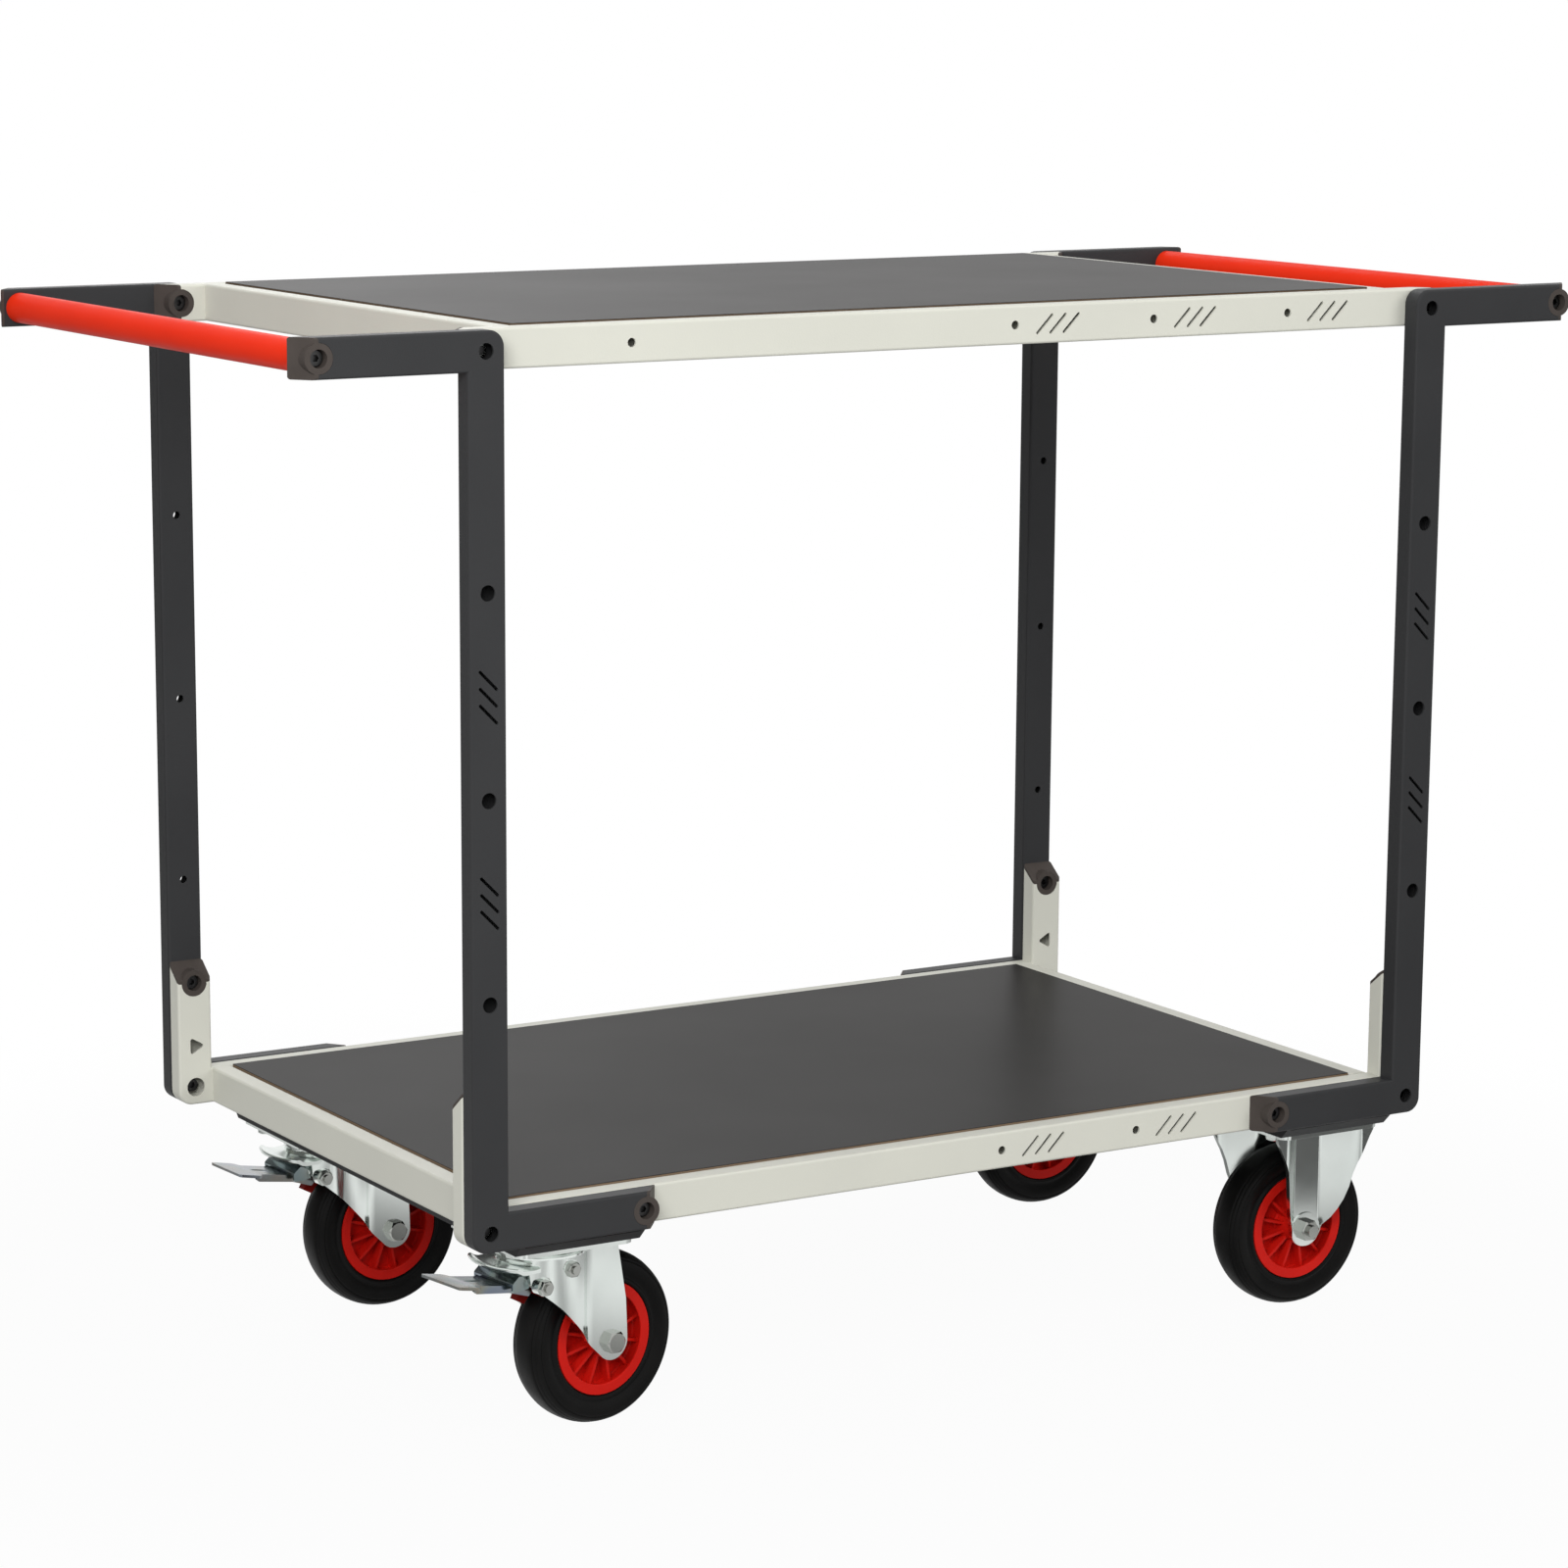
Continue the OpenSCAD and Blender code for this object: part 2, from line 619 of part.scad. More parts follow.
// Mounting plate of a swivel castor with its pressed ball race
module swivel_plate() {
    color(zinc) difference() {
        union() {
            plate_blank();
            rotate_extrude() polygon([[0, plate_z - race_h], [race_r - 6, plate_z - race_h],
                [race_r - 2, plate_z - race_h + 2], [race_r, plate_z], [race_r, plate_z + 1], [0, plate_z + 1]]);
        }
        translate([0, 0, plate_z - race_h - 1]) cylinder(d = kingpin_d, h = race_h + plate_t + 2);
        translate([0, 0, plate_z - 1]) bolt_pattern() cylinder(d = bolt_d + 1, h = plate_t + 2);
    }
}
module kingpin() {
    color(steel) {
        translate([0, 0, crown_under - 0.3]) cylinder(d = kingpin_d, h = castor_h - crown_under + 0.3);
        translate([0, 0, crown_under - 4.3]) cylinder(d = kingpin_d + 10, h = 4);
    }
}
// Side view of a swivel fork in XZ
module swivel_side() {
    translate([trail, wheel_r]) circle(r = foot_r);
    polygon([[trail + foot_r, wheel_r], [trail + foot_r - 0.5, wheel_r + 12], [trail + 5.5, crown_z + 1],
        [-crown_r - 1, crown_z + 1], [-crown_r - 1, crown_z - 16], [-36, crown_z - 24],
        [-27, crown_z - 35], [-7, crown_z - 53], [17.4, crown_z - 78.5], [32, wheel_r + 1],
        [trail - foot_r * 0.6, wheel_r - foot_r * 0.8], [trail, wheel_r]]);
}
// Round crown, skirt and flat legs of a swivel fork
module fork_shell(seat_r) {
    r = 5;
    intersection() {
        union() {
            // Round crown and skirt
            intersection() {
                difference() {
                    rotate_extrude() {
                        square([crown_r - r, crown_z]);
                        square([crown_r, crown_z - r]);
                        translate([crown_r - r, crown_z - r]) circle(r = r);
                    }
                    cylinder(r = crown_r - fork_t, h = crown_under);
                }
                translate([-crown_r - 1, -crown_r - 1, 0])
                    cube([crown_r + 1 + sqrt(crown_r ^ 2 - fork_out ^ 2), 2 * crown_r + 2, crown_z + 1]);
            }
            // Flat legs and the back of the crown
            translate([crown_r / 2, 0, 0]) rotate([90, 0, 90]) linear_extrude(trail + foot_r) difference() {
                union() {
                    translate([-fork_out, 0]) square([2 * fork_out, crown_z - r]);
                    translate([-fork_out + r, 0]) square([2 * (fork_out - r), crown_z]);
                    for (s = [-1, 1]) translate([s * (fork_out - r), crown_z - r]) circle(r = r);
                }
                translate([-fork_in, -1]) square([2 * fork_in, crown_under + 1]);
            }
            // Pressed seats of the brake pins
            for (s = [0, 1]) mirror([0, s, 0]) {
                translate([pivot_x, 28, pivot_z]) rotate([-90, 0, 0]) cylinder(r = seat_r, h = pivot_seat - 28);
                translate([guide_x, crown_r - fork_t + 0.2, guide_z]) rotate([-90, 0, 0])
                    cylinder(r = seat_r, h = guide_seat - crown_r + fork_t - 0.2);
            }
        }
        along_y(-60, 60) swivel_side();
    }
}
// Lip that a swivel fork's crown spreads out to over the brake
module fork_lip() {
    intersection() {
        rotate_extrude() polygon([[crown_r - fork_t / 2, lip_z - lip_t], [lip_r - 8, lip_z - lip_t],
            [lip_r - 3, lip_z], [lip_r, lip_z], [lip_r, lip_z + 4], [lip_r - 5, lip_z + 4],
            [lip_r - 10, lip_z], [crown_r - fork_t / 2, lip_z]]);
        translate([-lip_r - 1, -lip_half, 0])
            cube([lip_r + 3 - sqrt(crown_r ^ 2 - lip_half ^ 2), 2 * lip_half, crown_z]);
    }
}
module swivel_fork() {
    seat_r = pin_hex / sqrt(3) + 0.5;
    color(zinc) difference() {
        union() {
            fork_lip();
            fork_shell(seat_r);
        }
        for (s = [0, 1]) mirror([0, s, 0]) {
            translate([pivot_x, pivot_seat, pivot_z]) rotate([-90, 0, 0]) cylinder(r = seat_r + 0.3, h = 20);
            translate([guide_x, guide_seat, guide_z]) rotate([-90, 0, 0]) cylinder(r = seat_r + 0.3, h = 20);
        }
        translate([0, 0, crown_under - 1]) cylinder(d = kingpin_d + 2 * running_gap, h = fork_t + 2);
        along_y(-60, 60) {
            translate([trail, wheel_r]) circle(d = axle_d + 2 * running_gap);
            translate([pivot_x, pivot_z]) circle(d = pin_d + 2 * running_gap);
            translate([guide_x, guide_z]) circle(d = pin_d + 2 * running_gap);
        }
    }
}
// Outline of half a fixed leg in plan: flat channel, then a flared wing
module leg_plan(side) {
    mean = (wing_angle + wing_end_angle) / 2;
    skew = fork_t / cos((wing_angle - wing_end_angle) / 2);
    fold_x = channel_half + wing_run;
    fold_y = fork_out + wing_run * tan(wing_angle);
    tip_x = plate_l / 2 - 0.5;
    tip_y = fold_y + (tip_x - fold_x) * tan(wing_end_angle);
    polygon([[0, fork_in], [side * (channel_half + fork_t * tan(wing_angle / 2)), fork_in],
        [side * (fold_x + skew * sin(mean)), fold_y - skew * cos(mean)],
        [side * tip_x, tip_y - fork_t / cos(wing_end_angle)], [side * tip_x, tip_y],
        [side * fold_x, fold_y], [side * channel_half, fork_out], [0, fork_out]]);
}
module fixed_side() {
    tip = plate_l / 2;
    translate([0, wheel_r]) circle(r = foot_r);
    edge = [[foot_r, wheel_r], [foot_r + 7, wheel_r + 11], [foot_r + 15.5, wheel_r + 30],
        [foot_r + 21, wheel_r + 55], [tip - 15, plate_z - 32], [tip - 6, plate_z - 11], [tip, plate_z + 1]];
    polygon(concat(edge, [for (i = [len(edge) - 1:-1:0]) [-edge[i][0], edge[i][1]]]));
}
module fixed_fork() {
    color(zinc) difference() {
        union() {
            plate_blank();
            intersection() {
                for (s = [0, 1]) mirror([0, s, 0]) linear_extrude(plate_z + 1) {
                    leg_plan(1);
                    leg_plan(-1);
                }
                along_y(-60, 60) fixed_side();
            }
            for (s = [0, 1]) mirror([0, s, 0]) translate([0, fork_out - 1, wheel_r]) rotate([-90, 0, 0])
                cylinder(r = foot_r - 0.5, h = 2.5);
        }
        along_y(-60, 60) translate([0, wheel_r]) circle(d = axle_d + 2 * running_gap);
        translate([0, 0, plate_z - 1]) bolt_pattern() cylinder(d = bolt_d + 1, h = plate_t + 2);
    }
}
// Axle bolt along Y through a fork, its head at -Y and its nut at +Y, or flipped
module axle(flip, seat) {
    color(zinc) mirror([0, flip, 0]) {
        translate([0, seat + axle_end, 0]) rotate([90, 0, 0]) cylinder(d = axle_d, h = 2 * seat + axle_end + 1);
        translate([0, seat, 0]) rotate([-90, 0, 0]) hex(axle_hex, 9);
        translate([0, -seat, 0]) rotate([90, 0, 0]) hex(axle_hex, 7.5);
    }
}
module spacer() {
    color(steel) rotate([90, 0, 0]) difference() {
        cylinder(d = spacer_d, h = fork_gap, center = true);
        cylinder(d = axle_d + 2 * running_gap, h = fork_gap + 2, center = true);
    }
}
// Hub about the origin, its axis along Y
module hub() {
    bore = spacer_d / 2 + running_gap;
    color(hub_red) rotate([90, 0, 0]) {
        rotate_extrude() {
            translate([ring_r - 4, -rim_half]) square([4, 2 * rim_half]);
            for (s = [0, 1]) mirror([0, s]) translate([rim_inner_r, rim_half]) square([rim_r - rim_inner_r, flange_t]);
            translate([bore, -web_t / 2]) square([ring_r - 2 - bore, web_t]);
            translate([bore, -boss_half]) square([hub_boss_r - bore, 2 * boss_half]);
        }
        for (k = [0:rib_count - 1], s = [0, 1]) rotate([0, 0, (k + 0.5) * 360 / rib_count]) mirror([0, 0, s])
            rotate([90, 0, 0]) linear_extrude(rib_t, center = true)
                polygon([[hub_boss_r - 1, 0], [ring_r - 3, 0], [ring_r - 3, rim_half - 4], [hub_boss_r - 1, rim_half]]);
    }
}
// Tyre section: bead, hollow at the rim, bulged wall, shoulder groove and crowned tread
module tyre_section() {
    half = tyre_w / 2;
    wall = [[ring_r, rim_half], [rim_r + 0.5, rim_half], [rim_r + 1, half - 1.5], [rim_r + 3, half - 0.8],
        [rim_r + 4.5, half - 2], [rim_r + 6, half - 0.8], [rim_r + 13, half], [wheel_r - 9, half - 0.6],
        [wheel_r - 4.5, half - 2.6], [wheel_r - 3.2, half - 4], [wheel_r - 3.8, half - 4.8],
        [wheel_r - 2.4, half - 5.8], [wheel_r - 1.6, half - 7.6], [wheel_r - 2.2, half - 8.4],
        [wheel_r - 1, half - 9.4], [wheel_r - 0.3, half - 14], [wheel_r, 0]];
    polygon(concat(wall, [for (i = [len(wall) - 2:-1:0]) [wall[i][0], -wall[i][1]]]));
}
module tyre() { color(tyre_black) rotate([90, 0, 0]) rotate_extrude($fn = 96) tyre_section(); }

module hex_pin(x, z, seat) {
    translate([x, 0, z]) {
        rotate([90, 0, 0]) cylinder(d = pin_d, h = 2 * seat + 14, center = true);
        for (s = [0, 1]) mirror([0, s, 0]) translate([0, seat, 0]) rotate([-90, 0, 0]) hex(pin_hex, 5);
    }
}
module brake_pins() {
    color(zinc) {
        hex_pin(pivot_x, pivot_z, pivot_seat);
        hex_pin(guide_x, guide_z, guide_seat);
    }
}
// Height of the pedal's leaning deck at a place along it
function deck_at(x) = pivot_z + 2.5 - (x + 50) * tan(pedal_lean);
// Pedal: sloping tread, leaning deck, two side flanges and a sleeve with a nose on the pivot pin
module brake_pedal() {
    step_x = -90;
    tip_z = deck_at(step_x) + 5;
    nose = atan2(wheel_r - pivot_z, trail - pivot_x) - 20;
    color(zinc) difference() {
        union() {
            along_y(-pedal_half, pedal_half)
                polygon([[-114, tip_z], [step_x, deck_at(step_x)], [step_x, deck_at(step_x) - pedal_t],
                    [-113.4, tip_z - pedal_t]]);
            along_y(-pedal_flange, pedal_flange)
                polygon([[step_x - 1, deck_at(step_x - 1)], [-44, deck_at(-44)], [-44, deck_at(-44) - pedal_t],
                    [step_x - 1, deck_at(step_x - 1) - pedal_t]]);
            for (s = [0, 1]) mirror([0, s, 0]) along_y(pedal_flange - pedal_t, pedal_flange) {
                polygon([[-92, deck_at(-92)], [-92, deck_at(-92) - 7], [-51, pivot_z - 4], [-30, pivot_z - 11],
                    [-20, pivot_z - 8], [-20, pivot_z], [-38, pivot_z - 2], [-44, deck_at(-44)]]);
                translate([pivot_x, pivot_z]) circle(r = 6.5);
            }
            along_y(-pedal_flange, pedal_flange) {
                translate([pivot_x, pivot_z]) circle(r = 6);
                translate([pivot_x, pivot_z]) rotate(nose) translate([0, -3]) square([6, 6]);
                translate([pivot_x, pivot_z]) rotate(nose) translate([6, 0]) circle(r = 3);
            }
        }
        along_y(-60, 60) translate([pivot_x, pivot_z]) circle(d = pin_d + 2 * running_gap);
    }
}
// Release lever: small hood that straddles the pedal's deck
module release_lever() {
    t = 2.5;
    seat = 0.05;
    color(zinc) {
        along_y(-pedal_half, pedal_half)
            polygon([[-54, deck_at(-54) + seat], [-54, pivot_z + 5.5], [-46, pivot_z + 12], [-43, pivot_z + 11],
                [-44.5, pivot_z + 9], [-51, pivot_z + 4.5], [-51, deck_at(-51) + seat]]);
        for (s = [0, 1]) mirror([0, s, 0]) along_y(pedal_half - t, pedal_half)
            polygon([[-54, pivot_z - 2], [-54, pivot_z + 5.5], [-46, pivot_z + 12], [-39, pivot_z + 8.5],
                [-35.5, pivot_z], [-44, pivot_z - 2]]);
        along_y(-pedal_half + t, pedal_half - t)
            polygon([[-53, deck_at(-53) + seat], [-53, pivot_z + 5], [-47, pivot_z + 8.5],
                [-47, deck_at(-47) + seat]]);
    }
}
// Shoe: block round the tyre that hangs on the guide pin
module brake_shoe() {
    from = atan2(guide_z - wheel_r, guide_x - trail);
    pivot_reach = norm([pivot_x - trail, pivot_z - wheel_r]);
    outer = pivot_reach - 9.6;
    block_end = 143;
    foot_end = 151;
    foot_outer = wheel_r + 14;
    foot_w = 9;
    color(hub_red) difference() {
        union() {
            along_y(-shoe_half, shoe_half) translate([trail, wheel_r])
                flat_sector(outer, from, block_end, (from + foot_end) / 2);
            along_y(shoe_half - foot_w, shoe_half) translate([trail, wheel_r])
                flat_sector(foot_outer, block_end - 2, foot_end, (from + foot_end) / 2);
            along_y(-shoe_half, shoe_half) translate([guide_x, guide_z]) circle(r = 7);
            along_y(-crown_r + fork_t + 1, crown_r - fork_t - 1) translate([guide_x, guide_z]) circle(r = 6);
        }
        along_y(-60, 60) translate([guide_x, guide_z]) circle(d = pin_d + 2 * running_gap);
    }
}
// Sector of a disc whose inner side is a flat face across the angle facing
module flat_sector(r, a0, a1, facing) {
    intersection() {
        circle(r = r, $fn = 120);
        polygon([[0, 0], 2 * r * [cos(a0), sin(a0)], 2 * r * [cos(a1), sin(a1)]]);
        rotate(facing) translate([wheel_r + shoe_gap, -60]) square([60, 120]);
    }
}

module plate_front_left() { at_swivel(-1) swivel_plate(); }
module kingpin_front_left() { at_swivel(-1) kingpin(); }
module fork_front_left() { turned(-1) swivel_fork(); }
module axle_front_left() { at_swivel_wheel(-1) axle(0, fork_out); }
module spacer_front_left() { at_swivel_wheel(-1) spacer(); }
module hub_front_left() { at_swivel_wheel(-1) hub(); }
module tyre_front_left() { at_swivel_wheel(-1) tyre(); }
module brake_pins_front_left() { turned(-1) brake_pins(); }
module brake_pedal_front_left() { turned(-1) brake_pedal(); }
module release_lever_front_left() { turned(-1) release_lever(); }
module brake_shoe_front_left() { turned(-1) brake_shoe(); }

module plate_back_left() { at_swivel(1) swivel_plate(); }
module kingpin_back_left() { at_swivel(1) kingpin(); }
module fork_back_left() { turned(1) swivel_fork(); }
module axle_back_left() { at_swivel_wheel(1) axle(0, fork_out); }
module spacer_back_left() { at_swivel_wheel(1) spacer(); }
module hub_back_left() { at_swivel_wheel(1) hub(); }
module tyre_back_left() { at_swivel_wheel(1) tyre(); }
module brake_pins_back_left() { turned(1) brake_pins(); }
module brake_pedal_back_left() { turned(1) brake_pedal(); }
module release_lever_back_left() { turned(1) release_lever(); }
module brake_shoe_back_left() { turned(1) brake_shoe(); }

module fork_front_right() { at_fixed(-1) fixed_fork(); }
module axle_front_right() { at_fixed_wheel(-1) axle(1, fork_out + 1.5); }
module spacer_front_right() { at_fixed_wheel(-1) spacer(); }
module hub_front_right() { at_fixed_wheel(-1) hub(); }
module tyre_front_right() { at_fixed_wheel(-1) tyre(); }

module fork_back_right() { at_fixed(1) fixed_fork(); }
module axle_back_right() { at_fixed_wheel(1) axle(1, fork_out + 1.5); }
module spacer_back_right() { at_fixed_wheel(1) spacer(); }
module hub_back_right() { at_fixed_wheel(1) hub(); }
module tyre_back_right() { at_fixed_wheel(1) tyre(); }

post_front_left();
post_front_right();
post_back_left();
post_back_right();
handle_left();
handle_right();
top_rail_front();
top_rail_back();
top_end_rail_left();
top_end_rail_right();
top_cross_bars();
top_board();
lower_side_front();
lower_side_back();
lower_end_rail_left();
lower_end_rail_right();
lower_cross_bars();
lower_board();
castor_carrier_left();
castor_carrier_right();
post_end_plugs();
shelf_end_plugs();
handle_screws();
arm_screws();
shelf_screws();
clinch_nuts();
castor_bolts();
plate_front_left();
kingpin_front_left();
fork_front_left();
axle_front_left();
spacer_front_left();
hub_front_left();
tyre_front_left();
brake_pins_front_left();
brake_pedal_front_left();
release_lever_front_left();
brake_shoe_front_left();
plate_back_left();
kingpin_back_left();
fork_back_left();
axle_back_left();
spacer_back_left();
hub_back_left();
tyre_back_left();
brake_pins_back_left();
brake_pedal_back_left();
release_lever_back_left();
brake_shoe_back_left();
fork_front_right();
axle_front_right();
spacer_front_right();
hub_front_right();
tyre_front_right();
fork_back_right();
axle_back_right();
spacer_back_right();
hub_back_right();
tyre_back_right();
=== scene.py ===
# Two-shelf workshop cart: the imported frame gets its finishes, and the finer forms are modelled here.
import json
import math
import bpy
from mathutils import Matrix, Vector


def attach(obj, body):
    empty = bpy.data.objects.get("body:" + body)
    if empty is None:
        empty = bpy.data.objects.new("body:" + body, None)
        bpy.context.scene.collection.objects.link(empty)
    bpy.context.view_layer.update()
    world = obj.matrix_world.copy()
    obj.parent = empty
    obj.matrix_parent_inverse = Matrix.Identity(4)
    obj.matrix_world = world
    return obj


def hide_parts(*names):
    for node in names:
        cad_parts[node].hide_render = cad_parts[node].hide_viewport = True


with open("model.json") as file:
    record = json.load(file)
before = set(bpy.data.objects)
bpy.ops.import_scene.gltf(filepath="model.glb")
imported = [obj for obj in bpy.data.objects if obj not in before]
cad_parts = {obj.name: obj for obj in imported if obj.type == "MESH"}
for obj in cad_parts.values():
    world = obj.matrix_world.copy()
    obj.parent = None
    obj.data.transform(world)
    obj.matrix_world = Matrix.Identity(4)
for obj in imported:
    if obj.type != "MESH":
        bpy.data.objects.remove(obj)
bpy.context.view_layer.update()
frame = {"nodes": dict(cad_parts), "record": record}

nodes = frame["nodes"]
print("stage: frame loaded,", len(nodes), "nodes")

# The photograph's viewpoint, in metres and radians
cameraSetup = {
    "place": (-2.32738, -3.77559, 1.31660),
    "yaw": 0.53047,
    "pitch": -0.19774,
    "roll": 0.00257,
    "focalPixels": 4750.885,
    "middle": (704.1, 903.0),
    "imagePixels": 1600,
    "sensor": 36.0,
}


def addCamera(setup):
    yaw, pitch, roll, pixels = setup["yaw"], setup["pitch"], setup["roll"], setup["imagePixels"]
    ahead = Vector((math.sin(yaw) * math.cos(pitch), math.cos(yaw) * math.cos(pitch), math.sin(pitch)))
    right = Vector((math.cos(yaw), -math.sin(yaw), 0))
    up = right.cross(ahead)
    right, up = (math.cos(roll) * right + math.sin(roll) * up,
                 math.cos(roll) * up - math.sin(roll) * right)
    data = bpy.data.cameras.new("camera")
    data.sensor_width = setup["sensor"]
    data.lens = setup["focalPixels"] / pixels * setup["sensor"]
    data.shift_x = (pixels / 2 - setup["middle"][0]) / pixels
    data.shift_y = (setup["middle"][1] - pixels / 2) / pixels
    data.clip_start, data.clip_end = 0.1, 60
    camera = bpy.data.objects.new("camera", data)
    bpy.context.scene.collection.objects.link(camera)
    turn = Matrix((right, up, -ahead)).transposed().to_4x4()
    camera.matrix_world = Matrix.Translation(setup["place"]) @ turn
    bpy.context.scene.camera = camera


addCamera(cameraSetup)
bpy.context.scene.view_settings.view_transform = "Standard"


# Materials
def startMaterial(name):
    material = bpy.data.materials.new(name)
    material.use_nodes = True
    tree = material.node_tree
    tree.nodes.clear()
    output = tree.nodes.new("ShaderNodeOutputMaterial")
    shader = tree.nodes.new("ShaderNodeBsdfPrincipled")
    tree.links.new(shader.outputs["BSDF"], output.inputs["Surface"])
    return material, tree, shader


def addNode(tree, kind, links=None, values=None, **settings):
    node = tree.nodes.new(kind)
    for key, value in settings.items():
        setattr(node, key, value)
    for key, value in (values or {}).items():
        node.inputs[key].default_value = value
    for key, socket in (links or {}).items():
        tree.links.new(socket, node.inputs[key])
    return node


def objectCoords(tree):
    return addNode(tree, "ShaderNodeTexCoord").outputs["Object"]


def noise(tree, coords, scale, detail=3.0, roughness=0.5):
    return addNode(tree, "ShaderNodeTexNoise", {"Vector": coords},
                   {"Scale": scale, "Detail": detail, "Roughness": roughness}).outputs["Fac"]


def spread(tree, factor, low, high, fromLow=0.3, fromHigh=0.7):
    node = addNode(tree, "ShaderNodeMapRange", {"Value": factor},
                   {"From Min": fromLow, "From Max": fromHigh, "To Min": low, "To Max": high})
    return node.outputs["Result"]


def blendColours(tree, factor, first, second):
    node = addNode(tree, "ShaderNodeMix", data_type="RGBA")
    tree.links.new(factor, node.inputs[0])
    for socket, value in ((node.inputs[6], first), (node.inputs[7], second)):
        if isinstance(value, tuple):
            socket.default_value = (*value, 1.0)
        else:
            tree.links.new(value, socket)
    return node.outputs[2]


def bumpOn(tree, height, strength, distance):
    node = addNode(tree, "ShaderNodeBump", {"Height": height}, {"Strength": strength, "Distance": distance})
    return node.outputs["Normal"]


# One step of arithmetic on sockets and numbers
def calculate(tree, operation, *terms):
    node = addNode(tree, "ShaderNodeMath", operation=operation)
    for index, term in enumerate(terms):
        if isinstance(term, (int, float)):
            node.inputs[index].default_value = term
        else:
            tree.links.new(term, node.inputs[index])
    return node.outputs[0]


# Powder coat and moulded plastic: faint clouding, a gloss that varies a little, and a fine grain
paintLook = {
    "cloudScale": 9.0, "cloudDetail": 4.0, "glossScale": 14.0, "glossSpread": 0.02,
    "grainDetail": 2.0, "grainRoughness": 0.6, "grainStrength": 0.3,
}
plasticLook = {
    "cloudScale": 35.0, "cloudDetail": 3.0, "glossScale": 80.0, "glossSpread": 0.05,
    "grainDetail": 2.0, "grainRoughness": 0.5, "grainStrength": 0.3,
}


def clouded(look, name, colour, shade, rough, sheen, grainScale, grainDepth):
    material, tree, shader = startMaterial(name)
    coords = objectCoords(tree)
    shader.inputs["Specular IOR Level"].default_value = sheen
    cloud = spread(tree, noise(tree, coords, look["cloudScale"], look["cloudDetail"]), 0.0, 1.0)
    tree.links.new(blendColours(tree, cloud, colour, shade), shader.inputs["Base Color"])
    gloss = spread(tree, noise(tree, coords, look["glossScale"]), rough - look["glossSpread"],
                   rough + look["glossSpread"])
    tree.links.new(gloss, shader.inputs["Roughness"])
    grain = noise(tree, coords, grainScale, look["grainDetail"], look["grainRoughness"])
    tree.links.new(bumpOn(tree, grain, look["grainStrength"], grainDepth), shader.inputs["Normal"])
    return material


# Bright zinc, rolled smooth; tints of blue, yellow and violet drift over it where stain is above 0
zincLook = {
    "cloudScale": 12.0, "hueScale": 26.0, "stainScale": 16.0,
    "glossScale": 30.0, "glossBelow": 0.02, "glossAbove": 0.04,
    "waveScale": 18.0, "waveStrength": 0.12, "waveDepth": 0.0010,
    "firstHue": (0.30, (0.24, 0.30, 0.42, 1)), "lastHue": (0.70, (0.32, 0.24, 0.38, 1)),
    "hues": [(0.42, (0.34, 0.36, 0.28, 1)), (0.50, (0.38, 0.31, 0.20, 1)), (0.60, (0.22, 0.32, 0.30, 1))],
}


def zincPlate(name, colour, tint, rough, stain=0.0):
    look = zincLook
    material, tree, shader = startMaterial(name)
    coords = objectCoords(tree)
    shader.inputs["Metallic"].default_value = 1.0
    cloud = spread(tree, noise(tree, coords, look["cloudScale"]), 0.0, 1.0)
    base = blendColours(tree, cloud, colour, tint)
    if stain:
        hues = addNode(tree, "ShaderNodeValToRGB", {"Fac": noise(tree, coords, look["hueScale"], 1.0)})
        ramp = hues.color_ramp
        ramp.elements[0].position, ramp.elements[0].color = look["firstHue"]
        ramp.elements[1].position, ramp.elements[1].color = look["lastHue"]
        for place, hue in look["hues"]:
            ramp.elements.new(place).color = hue
        drift = spread(tree, noise(tree, coords, look["stainScale"]), 0.0, stain)
        base = blendColours(tree, drift, base, hues.outputs["Color"])
    tree.links.new(base, shader.inputs["Base Color"])
    gloss = spread(tree, noise(tree, coords, look["glossScale"]), rough - look["glossBelow"],
                   rough + look["glossAbove"])
    tree.links.new(gloss, shader.inputs["Roughness"])
    waves = noise(tree, coords, look["waveScale"], 1.0)
    tree.links.new(bumpOn(tree, waves, look["waveStrength"], look["waveDepth"]), shader.inputs["Normal"])
    return material


# Plywood with a dark film on both faces, between low and high in metres, and bare layers at its edges
boardLook = {
    "film": (0.026, 0.0245, 0.0235), "filmShade": (0.029, 0.0275, 0.0265), "rough": 0.38, "roughSpread": 0.03,
    "sheen": 0.035, "filmDepth": 0.0006, "ply": (0.21, 0.15, 0.10), "plyDark": (0.10, 0.068, 0.045),
    "layers": 0.0029, "cloudScale": 5.0, "cloudDetail": 4.0, "glossScale": 4.0,
    "grainScale": 1100.0, "grainStrength": 0.15, "grainDepth": 0.0001,
}


